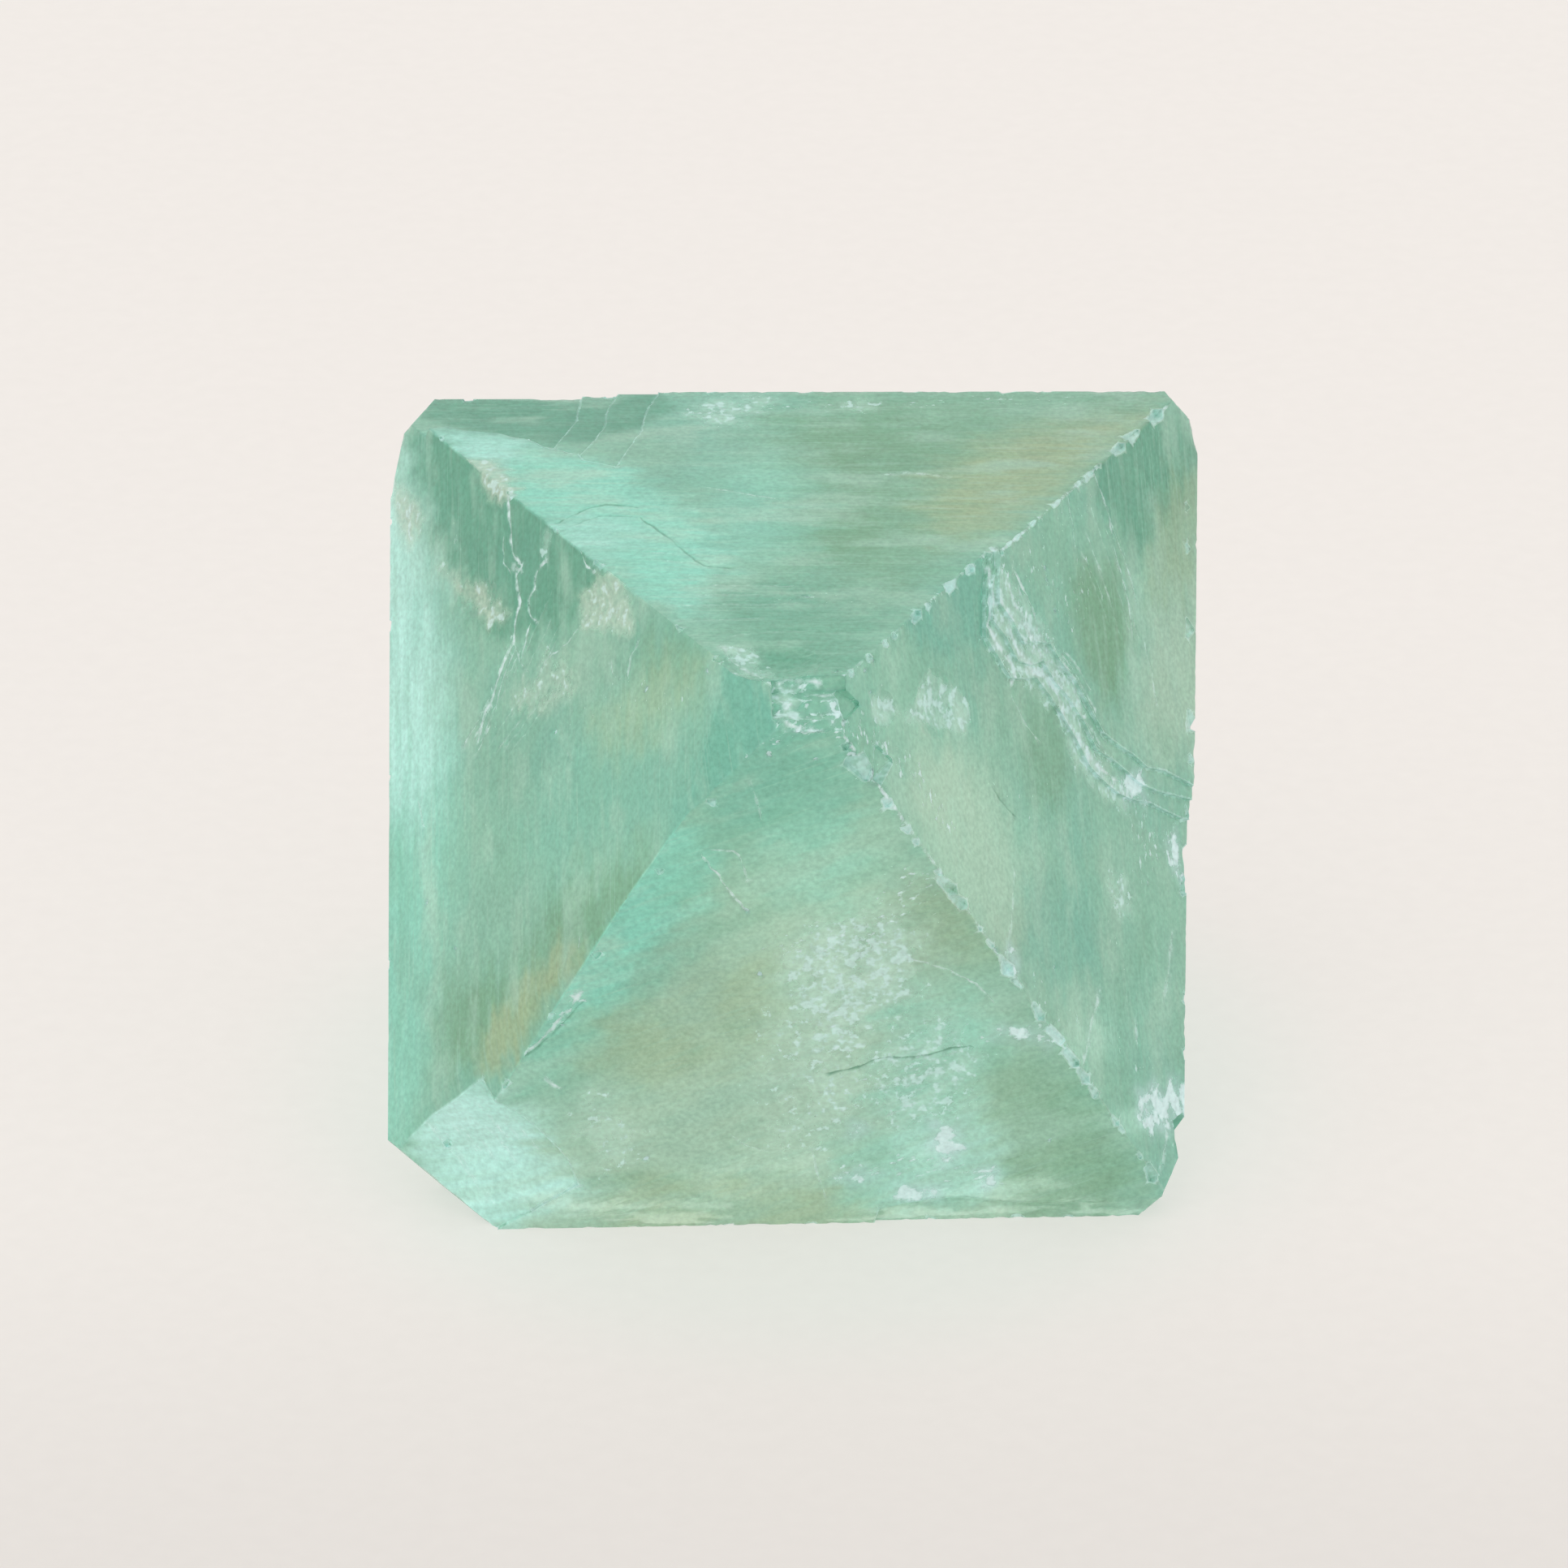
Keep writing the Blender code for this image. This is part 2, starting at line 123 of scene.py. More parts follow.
# Soft-edged clouds in the stone, by face: kind, strength, softness of the border, outline. Glow is painted
# light.
CLOUDS = {
    "top": [
        ("deep", 0.9, 0.5, "-1,-1 13,-1 13.8,2.1 11.2,4.9 6.6,5.5 3.5,3.9"),
        ("aqua", 1.0, 1.4, "2.6,4.4 6.7,5.6 11.2,8.1 15.1,14.3 16.8,18.6 14.8,24.3 12.2,22.2 8.3,15.3 "
         "4,8.1"),
        ("glow", 0.6, 1.0, "2.8,4.4 7.2,5.8 6.1,8.5 4.2,8"),
        ("glow", 0.45, 1.2, "8,15.4 9.8,13.8 11.8,14 12.4,16.5 10.3,18.8"),
        ("cream", 1.0, 0.5, "3.7,7.6 5.4,8 6.5,9.7 6.3,11.8 5,11"),
        ("khaki", 1.0, 2.2, "27.2,7.7 30.3,4.5 36.5,2.2 34.4,6.8 31.6,11.7 28.9,15.2 26.6,16.5 25.6,12.6"),
        ("olive", 0.75, 3.0, "21,0 38,0 31,11 24,23 19,18"),
        ("olive", 1.0, 3.0, "19,3 27,1.5 30,3 26,9 24,19 20,19"),
        ("deep", 0.7, 1.6, "16.2,22.5 18.8,20.5 22.5,21.2 23.5,25 21.7,30.9 17,30.5"),
        ("aqua", 0.5, 2.0, "14.7,9 18.4,7.2 20.7,10.8 19.9,17.8 16.6,19.5"),
        ("veil", 0.6, 0.8, "15,1.2 18.6,0.4 18.3,2.3 16.5,3.9 15,3.7"),
        ("veil", 0.6, 0.5, "22,1.2 23.9,1.2 23.7,2.3 22.3,2.3"),
        ("veil", 0.7, 0.4, "16.1,27.4 17.7,27.9 18.6,29 18.4,30 17.5,29.8 16.6,28.8"),
        ("veil", 0.9, 0.25, "18.4,31.3 19.5,30.7 19.6,32 18.8,32"),
        ("frost", 1.0, 0.12, "20.9,31.3 21.6,31.6 21.4,32.2"),
    ],
    "left": [
        ("glow", 0.8, 2.6, "-0.5,1 3.2,2 5.4,3.3 7,4.8 9.2,6.3 11.6,8.2 13.4,10.3 14.8,12.6 14.5,16.5 "
         "9,17 2,8"),
        ("glow", 0.6, 1.6, "0,1.5 3.8,2.6 6.5,5.3 8.8,8.4 9.2,11.5 5,12.5"),
        ("aqua", 0.75, 2.4, "9,13 14.7,11.6 17.6,15.5 19.2,19.7 19.6,22.9 12.4,22"),
        ("cream", 0.9, 0.5, "9.2,5.3 10.6,5.3 12.8,4.8 16,4.8 14.6,6 12.2,5.8"),
        ("cream", 1.0, 0.3, "9,-0.6 13.4,-0.6 12.7,0.6 11.7,0.8 10.6,0.5"),
        ("cream", 0.8, 0.5, "3.2,3.3 5.5,3.3 6.7,4.1 6.5,5.7 4.5,4.8"),
        ("veil", 0.55, 0.25, "9.3,3.1 9.6,3.1 10.4,3.7 10.2,3.9"),
        ("veil", 0.6, 0.2, "16.7,0.4 17.4,0.4 17.6,1.4 17.2,1.5"),
        ("cream", 0.75, 0.3, "21.2,1.9 21.9,0.5 22.8,-0.4 25,0.3 26.2,1.4 24.9,2.1 22.2,2.9"),
        ("cream", 0.5, 0.7, "21.6,4.3 23.1,5.3 21.9,7.4 19.4,8.5 18.2,7.8 19.7,6.3"),
        ("deep", 1.0, 0.8, "3.3,1.3 4.1,-1.1 12.4,-1 18.5,-0.5 22.4,-0.5 21.4,2.6 17.6,5.6 14.2,6.6 "
         "9.6,4.9 5.9,2.9"),
        ("deep", 0.55, 1.0, "25.9,1.3 31.4,-0.6 32.6,0.9 28.7,3.3 24.5,3.9"),
        ("khaki", 0.55, 1.4, "27.8,1.7 32.9,0.2 31.7,3.2 27.9,6.9 25.4,6.7 27.5,3.8"),
        ("teal", 0.9, 0.9, "33.4,-1 39.5,-1 39.6,2 34.7,10.6 33.3,7.5 34,3"),
        ("olive", 0.95, 1.6, "24.5,19 27.4,13.6 32.3,9.8 34.4,10.4 29.3,17.6 24.7,24.2 21.6,25.6 "
         "20.1,21.8"),
        ("khaki", 1.0, 0.8, "24.4,22.4 26.2,19 28.4,16 30.4,15.6 28.2,20.3 25.4,24.4"),
        ("aqua", 0.7, 2.0, "13,21.6 17.7,22.5 21.2,24.9 21.6,27.4 21.4,31 15,30"),
        ("deep", 0.2, 2.5, "17.3,10.2 28.1,7.2 33.7,1.6 36.1,3 32.5,9.3 22.2,15.5"),
    ],
    "front": [
        ("aqua", 1.0, 1.6, "5.6,16.6 12,26.4 15,23.4 13.4,18.9 10.8,14.8 7.4,12.2"),
        ("teal", 0.6, 1.6, "15,28 17.5,34 20.4,32 22.5,27.8 20.8,24.9 16.8,25"),
        ("aqua", 0.55, 1.8, "17,24.9 20.6,26.4 22.4,22.4 21.1,19.4 17.6,20.5"),
        ("aqua", 0.5, 1.2, "4.5,11 9,16.5 11,15 8,9.8 6.5,8.6"),
        ("khaki", 0.55, 1.6, "14.7,16.6 17.6,17 18.4,14.5 16.9,10.9 14.3,13.1"),
        ("khaki", 0.6, 1.8, "9.9,14.2 13.9,13.6 15.8,10.5 12.1,9 9.1,11.1"),
        ("khaki", 0.45, 1.2, "23.2,20.8 26,21.3 28.2,16.8 25,16.9"),
        ("veil", 0.75, 1.1, "18.6,17 19.8,18.9 21.8,19.4 24.4,18.4 24.2,15.1 22.6,13.4 21.4,11.6 "
         "20.3,9.4 18.8,13.4"),
        ("veil", 0.45, 2.2, "17.4,14 20.9,12 22.8,8 20,4.4 17.2,6.3"),
        ("aqua", 0.7, 1.5, "23.4,15.3 26.9,14.8 28.4,12 26.8,7.6 24.4,4.6 22.2,7.8 22.6,12.3"),
        ("veil", 0.55, 1.2, "22.4,12.8 25.6,13.6 27.4,11 26,6.6 23.2,6 22,8.6"),
        ("deep", 0.5, 0.7, "23,14.1 24.3,14.1 24.3,12.6 23,12.8"),
        ("glow", 0.4, 1.0, "23,6.4 26.9,7.6 28.6,5 28.8,1.6 25.6,0.8 22,1.6"),
        ("frost", 1.0, 0.5, "25.1,6.6 25.6,6.1 26.5,6.1 26.7,4.8 25.8,3.5 25.1,4.3"),
        ("frost", 0.9, 0.4, "27.3,3.4 28.1,3.7 28.2,2.1 27.5,1.8"),
        ("frost", 0.85, 0.4, "23.6,2.5 24.5,2.6 25.8,2.3 25.5,1.3 24.1,1.3"),
        ("frost", 0.65, 0.5, "20.7,3.1 21.9,3.8 23,3.1 21.9,2.3 20.9,2.5"),
        ("frost", 0.6, 0.4, "21.3,6.7 22.2,6.3 22,5.5 21.4,5.5"),
        ("aqua", 0.5, 1.2, "20.5,6 27.5,7 28.6,3 27,0.6 21,0.6"),
        ("frost", 0.65, 0.6, "27.7,12.1 28.8,12.6 29.9,12.6 30.6,11.9 30.5,10.9 29.2,11.1"),
        ("olive", 0.6, 1.6, "27.8,10.2 30.3,10.6 32.7,7.5 34.7,3.8 34.4,-0.6 29.1,-0.8 28.1,4.5"),
        ("veil", 0.9, 0.25, "17.6,31.8 18.9,31.5 18.2,30.9"),
        ("frost", 1.0, 0.12, "20,31.5 20.6,31.4 20.3,30.8"),
        # Painted light: this wide pale cloud lightens the lower front, which faces the bright floor and
        # looks lit through.
        ("pale", 1.0, 4.0, "3,3 3.5,-4 36,-4 32,7 27,16 22,26 16,21 9,9"),
        ("glow", 0.9, 1.3, "0,6.2 2.9,8.8 4.9,8.9 6.1,7.6 7.6,6.4 6.8,4.9 8,3.6 9.6,2.5 7,1 5.2,-0.2 "
         "2,-1"),
        ("frost", 0.3, 1.2, "2.3,6.6 4.8,6.4 6.2,5.6 5.9,4.4 4.2,3.6 2.8,3.8"),
        ("frost", 0.65, 0.35, "2.8,9.2 3.9,10.9 4.6,11.2 5.4,10.4 4.2,9.4 3.7,8.6"),
        ("khaki", 0.6, 1.4, "11,3.4 16.4,3 22.9,1.6 21.9,-2.5 9.4,-2.5"),
        ("veil", 0.5, 0.9, "8.4,8.2 9.8,8.5 11.3,6.5 11.4,4.5 10.2,3.7 9.1,4.9"),
    ],
    "right": [
        ("deep", 0.95, 1.3, "2.9,-1.4 -0.8,3 4.6,4.8 8.8,5.1 10.9,1.6 11.4,-0.7"),
        ("olive", 0.9, 1.2, "14.4,2.8 10.2,4.5 11.2,8.3 14.5,10.2 16.4,6.5"),
        ("khaki", 0.55, 1.2, "3.6,3 0,4.4 4.2,8.3 9.2,7 6.8,4.7"),
        ("teal", 0.95, 0.8, "22.9,-0.6 20.9,-0.6 21.9,2 23.4,3.7 27.4,1.9 30,-0.6"),
        ("veil", 0.62, 0.35, "21.2,0.4 19.9,1.3 18.3,5 17,8.2 17.3,10.8 16.4,13 14.6,14.2 15.6,15.2 "
         "18.6,11.7 19,8.6 20.2,6.6 21.8,5.4 22.8,3.6"),
        ("frost", 1.0, 0.4, "15.3,13.2 13.7,14 13.7,15.2 15.2,14.6"),
        ("veil", 0.7, 0.2, "28,2.4 26.5,3.9 25.6,5.3 26.8,6.2 29.1,4.7 31.4,3.5"),
        ("veil", 0.7, 0.2, "33.1,1.4 31.9,2.1 31.5,3.1 32.9,3.1 33.5,2.4"),
        ("pale", 0.9, 1.8, "30.6,4.5 27,6.5 25.5,10.6 26.5,13.4 28.9,17.4 31.9,13.2 33.4,6.5"),
        ("frost", 0.75, 0.4, "28.9,15.6 27.9,16.4 28.2,17.3 29.2,17.2 29.4,16.2"),
        ("teal", 0.75, 1.3, "26.1,13.8 20.2,16.3 22,19.6 26.6,19.9 28.2,17.5"),
        ("olive", 0.6, 1.2, "21.4,6.3 18.6,7.9 18.5,10.4 20.9,12.7 23.1,10.8"),
        ("veil", 0.7, 0.7, "19.1,17.2 17.3,17.8 17.3,19.1 19.2,18.6"),
        ("frost", 0.85, 0.6, "22.4,26.4 18.9,27.4 17.4,28.6 17.8,30.2 21.2,29.2 22.8,27.8"),
        ("pale", 0.8, 2.2, "33.8,6 27,10 23.8,16 26,22 33.6,12"),
        ("pale", 0.8, 1.8, "9.1,7.5 3,7.8 5.2,14.2 12.6,14.7 13.4,11.9"),
        ("frost", 0.8, 0.4, "13.4,17.8 11.6,17.6 12.4,20.2 13.4,19.2"),
    ],
    "back": [
        ("deep", 0.7, 2.5, "3,3 15,5 18,14 9,15"),
        ("aqua", 0.8, 2.2, "19,2 30,3.5 26,13 19,12"),
        ("khaki", 0.6, 2.0, "14,16 23,15 22,24 17,26"),
        ("veil", 0.8, 0.9, "24.5,3 31,2 32.5,6 27,8"),
    ],
    "back_left": [
        ("glow", 0.7, 2.0, "3,1.5 16,2 14,8 6,7"),
        ("olive", 0.7, 2.0, "14,11 23,8 26,16 18,22"),
        ("veil", 0.7, 0.8, "24,3 30,5 27,11 23,9"),
    ],
    "back_right": [
        ("deep", 0.8, 2.0, "2,2 12,2 15,12 8,13"),
        ("veil", 0.8, 1.0, "14,9 22,7 23,16 17,20"),
        ("aqua", 0.7, 1.8, "24,2 33,3 29,10 24,9"),
    ],
    "base": [
        ("aqua", 0.6, 2.5, "5,3 16,3 18,14 11,14"),
        ("veil", 0.6, 1.5, "20,6 28,5 26,14 20,15"),
    ],
}

# Thin lines: kind, face, strength, half width, depth of the groove, path.
LINES = [
    ("crack", "left", 0.95, 0.07, 0.05, "12.9,0.2 14.7,2.3 15.9,2.5 15.6,3.1 16,3.5 16.6,4 16.7,5.1 "
     "17.1,5.8"),
    ("crack", "left", 0.95, 0.07, 0.04, "17.1,5.8 16.8,7.2 16.8,8.6 16.6,9.9 16.8,11"),
    ("crack", "left", 0.8, 0.04, 0.03, "17.4,6 17.2,7.6 17.3,8.7 17.2,9.8"),
    ("crack", "left", 0.7, 0.04, 0.03, "17.1,5.8 18.1,6.4 19.1,6.6"),
    ("crack", "left", 0.6, 0.03, 0.02, "13.6,1.9 14.3,3 15.2,3.2"),
    ("crack", "left", 1.0, 0.06, 0.05, "17.5,1.6 17.1,2.5 17.4,3 17.2,3.6 17.7,4.2 18.5,4.3"),
    ("crack", "left", 0.9, 0.04, 0.04, "17.9,4.9 18,5.4 18.1,6.2"),
    ("crack", "left", 1.0, 0.05, 0.04, "20.1,0.1 20.6,0.4 21.6,0.5"),
    ("crack", "left", 0.7, 0.12, 0.03, "15.3,2.8 15.9,2.7"),
    ("crack", "left", 0.5, 0.03, 0.03, "22.5,1.7 21.4,4 19.9,5.7"),
    ("crack", "left", 0.6, 0.06, 0.03, "25.2,3.6 25.6,3.9"),
    ("crack", "left", 0.4, 0.06, 0.03, "26.7,1.9 26.5,2.7 26.8,3.6"),
    ("crack", "left", 0.5, 0.05, 0.03, "24.2,8.5 24.6,8.7"),
    ("crack", "left", 0.6, 0.05, 0.03, "13.7,15.5 14.7,16.3"),
    ("crack", "left", 0.6, 0.05, 0.03, "29.5,15.3 29.7,15.8"),
    ("crack", "top", 0.35, 0.12, 0.02, "23.6,9.4 24.9,9.2 26.6,9.6"),
    ("crack", "top", 0.35, 0.06, 0.02, "15.4,10.8 16.6,11.2 18.8,12.1"),
    ("dark", "top", 0.7, 0.04, 0.04, "8.7,14.6 9.8,13.2 10.8,12.6 12.4,13"),
    ("dark", "top", 0.6, 0.04, 0.04, "12.4,14.1 13.6,16 14.5,17.8 15.3,19.2 16.6,19.5"),
    ("dark", "top", 0.4, 0.04, 0.02, "9.2,15 10.5,13.9 12.2,14"),
    ("crack", "top", 0.7, 0.1, 0.03, "16.3,27.7 16.5,28.5 16.7,28.8 17.4,29.5 18,30.1"),
    ("crack", "front", 0.8, 0.1, 0.03, "17.9,31.8 18.6,31.9 19,31.8 19.8,31.7"),
    ("crack", "top", 0.8, 0.08, 0.02, "20.6,31.2 21.3,31"),
    ("crack", "top", 0.5, 0.07, 0.02, "20.1,31.1 20.5,31.1"),
    ("crack", "top", 0.5, 0.07, 0.02, "19.2,32 20.2,32.1 20.8,32.2"),
    ("crack", "front", 0.7, 0.08, 0.02, "18.2,31 18.9,30.7 19.3,30.7 19.9,30.5"),
    ("crack", "front", 0.9, 0.04, 0.04, "14.4,23.3 15.2,22.1 15.9,20.8 16.5,19.9"),
    ("crack", "front", 0.5, 0.04, 0.03, "14.9,23.7 15.9,23.6 16.3,22.8 16.5,21.8"),
    ("crack", "front", 0.35, 0.05, 0.03, "16.6,27.6 17,26.2 17.2,24.9"),
    ("crack", "front", 0.45, 0.04, 0.03, "15.9,5.8 16.6,5.2 17.7,4.7"),
    ("crack", "front", 0.4, 0.04, 0.03, "19.6,4.7 19.9,3.1 20.3,1.6"),
    ("dark", "front", 0.75, 0.05, 0.07, "20.4,9.7 21.8,10.1 22.7,10.6 23.6,10.6 24.9,10.7 25.8,11.1 "
     "26.9,11.3"),
    ("crack", "front", 0.6, 0.04, 0.03, "23.8,16.9 25,16.4 25.7,16.1 26.9,15.2 27.8,14"),
    ("crack", "front", 0.6, 0.1, 0.03, "7.3,9.6 8,9"),
    ("crack", "front", 0.9, 0.06, 0.05, "8.9,14.9 8.4,13.9 7.8,13.1 7.4,12.4 6.5,11.4 5.6,10.7 4.6,10.2"),
    ("crack", "front", 1.0, 0.16, 0.05, "9,15.1 8.8,14.7"),
    ("dark", "front", 0.6, 0.04, 0.04, "9,14.4 8.1,13.1 7.2,11.9 6.1,10.8"),
    ("crack", "right", 1.0, 0.12, 0.03, "20.8,0.4 21.5,1.6 22.4,2.6 22.2,3.6 21.4,5 21.6,5.8"),
    ("crack", "right", 1.0, 0.12, 0.03, "21.2,1.9 20.8,3 21,3.8 20.9,4.8"),
    ("crack", "right", 1.0, 0.2, 0.03, "20.9,4.8 19.9,6.1 18.9,6.7"),
    ("crack", "right", 0.9, 0.12, 0.03, "18.9,6.7 18.4,8.2 18.5,9 18.1,10.2 17.2,11.9 15.8,13.4"),
    ("crack", "right", 0.7, 0.06, 0.03, "19.3,1.3 18.8,3.5 19,4.8 18.1,6 17.2,7.4 17.2,9"),
    ("crack", "right", 1.0, 0.1, 0.02, "17.6,9.1 17.1,9.6"),
    ("crack", "right", 0.3, 0.08, 0.02, "26.3,13.1 27.5,14.6 28.8,16"),
    ("crack", "right", 0.5, 0.04, 0.03, "22,6.4 21.7,7.8 21,9"),
    ("dark", "right", 0.7, 0.04, 0.04, "25.9,9.4 25.6,10.1 24.9,11.1"),
    ("crack", "right", 0.45, 0.14, 0.04, "22.5,21 24.1,22 26,23.5"),
    ("crack", "right", 0.35, 0.14, 0.03, "14.9,21.6 16.4,23.1 17.5,24"),
    ("crack", "right", 0.4, 0.08, 0.03, "20.4,23.7 20.9,24.7"),
    ("crack", "right", 0.5, 0.12, 0.03, "20.7,29.4 22.2,30.4"),
    ("crack", "right", 0.6, 0.04, 0.03, "12.9,0.1 13.3,1.4 13.8,2.6"),
    ("crack", "right", 0.55, 0.04, 0.03, "13.2,3.1 12.8,4.5 12.7,5.5"),
    ("crack", "right", 0.65, 0.04, 0.03, "10.1,0 9.9,2 10.4,4 10.6,6.4 11.3,8.2"),
    ("crack", "right", 0.5, 0.04, 0.03, "10.1,0.4 9.9,3.4 9.8,5.9 10,7"),
    ("crack", "right", 0.4, 0.05, 0.03, "10.4,8.8 10.5,10.2 11,11.7"),
    ("crack", "back", 0.8, 0.05, 0.05, "12,0.5 13.5,4 13,8 15,12"),
    ("crack", "back", 0.6, 0.04, 0.04, "13.4,4 15.5,6.5 16,9"),
    ("crack", "back_left", 0.8, 0.05, 0.05, "4,9 9,10.5 12,9.5 17,12"),
    ("crack", "back_right", 0.8, 0.05, 0.05, "10,1 14,5 20,6.5 25,11"),
    ("dark", "back_right", 0.6, 0.05, 0.05, "6,8 9,12 10,15"),
    ("crack", "base", 0.6, 0.05, 0.04, "8,5 14,8 18,13"),
]

# Bundles of fine cracks between two paths: face, strength, half width, groove depth, count, first
# path, second path.
STRANDS = [
    ("right", 0.55, 0.05, 0.03, 12, "21.3,1.4 20.9,4.8 19,6.6 18.3,9.5 16.6,12.6", "19.3,1.4 18.7,4.8 "
     "16.9,6.6 15.9,9.2 15.2,12.2"),
    ("right", 0.35, 0.04, 0.02, 7, "14,0.6 13.4,4 13,8", "9,0.6 9.2,5 10,10"),
    ("front", 0.4, 0.05, 0.03, 10, "22.1,9.9 24,11 26.2,12.4", "22,6.2 24.2,7.6 26.8,9"),
    ("front", 0.35, 0.04, 0.02, 7, "18.8,17.4 21.4,18.8 24,19", "19.2,12.2 21.2,13.6 23.4,14.2"),
    ("front", 0.3, 0.05, 0.01, 9, "0.6,5.4 2.4,3 4.4,0.6", "4.8,8.6 6.6,6 8.4,3.2"),
    ("left", 0.5, 0.04, 0.03, 5, "16.4,8.4 15.9,10.4 15.2,12.4", "17.8,8.8 17.4,10.8 16.9,12.6"),
    ("left", 0.3, 0.04, 0.02, 8, "18,2 17.6,6 16.6,10", "23.6,3 21.4,8 19,12"),
    ("top", 0.3, 0.04, 0.02, 8, "9,17 14,17.6 19,18", "15.6,27 18,26.4 22,26"),
    ("back", 0.4, 0.05, 0.03, 8, "20,3 19,9 20,15", "25,3 24,9 23,15"),
    ("back_left", 0.4, 0.05, 0.03, 7, "4,3 8,7 12,9", "8,2 12,5 17,8"),
    ("back_right", 0.4, 0.05, 0.03, 7, "20,3 19,9 21,15", "25,3 24,8 23,13"),
    ("base", 0.35, 0.05, 0.03, 6, "10,4 14,7 16,12", "14,3 18,6 20,11"),
]

# Lines get a point this often, which strays up to so far to either side.
LINE_SEED = 3
WANDER_STEP = 0.3
LINE_STRAY = 0.05
STRAND_STRAY = 0.06

# Where fine glints of broken stone gather, by face: strength, spread, path; white chips and painted
# highlights.
GLINTS = {
    "top": [
        (0.7, 0.6, "15.2,2.6 17.8,1.6 22.8,1.6 32.8,0.8"),
        (0.5, 0.7, "17.4,23.6 20,22.4 22.6,23.4"),
        (0.9, 0.6, "17.4,31.2 19,31.6 20.8,31.4"),
        (0.9, 0.9, "18,33 20,32.4 22,32"),
    ],
    "left": [
        (0.45, 1.6, "23,6 27,4 31,3"),
        (0.6, 0.6, "16.8,6 17.2,10"),
    ],
    "front": [
        (0.8, 1.5, "18.6,17.6 22.6,18.4 24.2,21.6"),
        (0.55, 1.8, "21.4,15 20.6,9 24.8,10"),
        (0.8, 1.1, "20.9,3.8 25,3.8 28,2.6"),
        (0.9, 0.6, "27.6,12 30.4,11.6 31.6,12.4"),
        (0.8, 0.5, "3.4,9.8 5,10.8 6.8,11.8 8.8,14.8"),
        (0.95, 0.7, "17.4,31.6 19,31 20.8,30.6"),
        (0.8, 0.5, "17.2,29.8 18.2,30.6 20.6,30.2"),
    ],
    "right": [
        (0.9, 0.9, "20.2,1 19.3,5 18,9 17.4,12 14.6,14.8"),
        (0.7, 1.3, "18.6,0.8 16.4,2.6 15.6,5 13.5,4"),
        (0.8, 1.2, "14.2,15.6 15.6,17.6 12.6,17.6 12.6,19.6"),
        (0.5, 1.0, "11,0.8 16,0.8"),
        (0.9, 0.7, "36.4,0.8 34,3.4 32.3,4.6 31.5,6.6 30.6,9"),
        (0.45, 1.4, "26.3,9.4 23.6,11 24,13.6"),
        (0.6, 0.9, "29,16.4 27,20 24,22.4"),
        (0.5, 1.0, "22,24 19.8,28.4 21,30.6"),
        (0.4, 1.2, "18.6,17.8 20.4,21"),
    ],
    "back": [
        (0.55, 2.0, "5,10 16,11 24,16 30,9"),
    ],
    "back_left": [
        (0.55, 2.0, "9,22 13,15 19,11.5 26,14"),
    ],
    "back_right": [
        (0.55, 2.0, "2,12.5 12.5,14.5 19,12 24,18.5"),
    ],
    "base": [
        (0.5, 2.0, "11,19 16,16 26,20"),
    ],
}

# Lone small breaks that show white, by face: along, across, radius.
DOTS = {
    "top": [
        (20.0, 22.4, 0.16), (16.8, 30.0, 0.14), (21.7, 30.5, 0.13), (21.3, 30.1, 0.1),
    ],
    "front": [
        (11.9, 4.4, 0.17), (17.1, 16.0, 0.14), (8.1, 13.0, 0.1), (6.4, 11.3, 0.12), (16.5, 19.9, 0.15),
        (17.8, 30.0, 0.14), (17.4, 29.3, 0.17), (19.5, 29.0, 0.12), (18.7, 30.7, 0.17), (19.6, 30.6, 0.1),
        (21.1, 29.2, 0.22), (30.6, 5.2, 0.12),
    ],
    "left": [
        (28.4, 3.4, 0.16), (32.5, 0.8, 0.14), (22.6, 8.0, 0.12), (16.8, 19.2, 0.16), (20.2, 20.0, 0.12),
    ],
    "right": [
        (29.8, 15.6, 0.16), (25.6, 18.4, 0.12), (32.1, 0.2, 0.1), (33.0, 0.3, 0.13), (33.1, 1.3, 0.11),
        (35.9, 1.6, 0.16), (34.9, 4.5, 0.28), (17.0, 4.2, 0.13), (16.7, 2.2, 0.13), (16.9, 2.7, 0.1),
    ],
}

# How strongly each edge is worn into whitish chips, from 0 to 1. On the two ridges that the front
# tip sends to the right, it changes with the distance from the tip: (distance, wear).
RIDGE_WEAR = {
    frozenset(("top", "right")): [
        (2.0, 0.6), (12.0, 0.45), (15.0, 1.0), (19.0, 0.75), (22.0, 1.0), (27.0, 0.9), (31.0, 0.65),
        (37.0, 0.75),
    ],
    frozenset(("front", "right")): [
        (1.0, 0.7), (3.0, 1.0), (8.0, 1.0), (11.0, 0.75), (18.0, 0.7), (22.0, 0.5), (25.0, 0.9), (28.0, 0.5),
        (37.0, 0.35),
    ],
}
EDGE_WEAR = {
    frozenset(("top", "left")): 0.12,
    frozenset(("front", "left")): 0.12,
    frozenset(("top", "back")): 0.3,
    frozenset(("right", "back_right")): 0.4,
    frozenset(("left", "back_left")): 0.1,
}
PLAIN_EDGE_WEAR = 0.3

# How far wear reaches from an edge and how deep it cuts, how much every edge is rounded, and how
# wide its white rim is.
WEAR_REACH = 0.5
WEAR_DEPTH = 0.16
ROUNDING = 0.03
RIM_WIDTH = 0.09

# The marks that are stored as masks on the mesh.
KINDS = (
    "pale", "deep", "aqua", "glow", "khaki", "olive", "teal",
    "cream", "veil", "frost", "crack", "dark", "glint",
)


def unit(vector):
    return vector / np.linalg.norm(vector)


def direction(azimuth, elevation):
    """Unit vector that points along an azimuth and an elevation, in degrees."""
    turn, lift = math.radians(azimuth), math.radians(elevation)
    return np.array([math.cos(turn) * math.cos(lift), math.sin(turn) * math.cos(lift), math.sin(lift)])


def smooth(value):
    """Soft step from 0 to 1."""
    value = np.clip(value, 0.0, 1.0)
    return value * value * (3.0 - 2.0 * value)


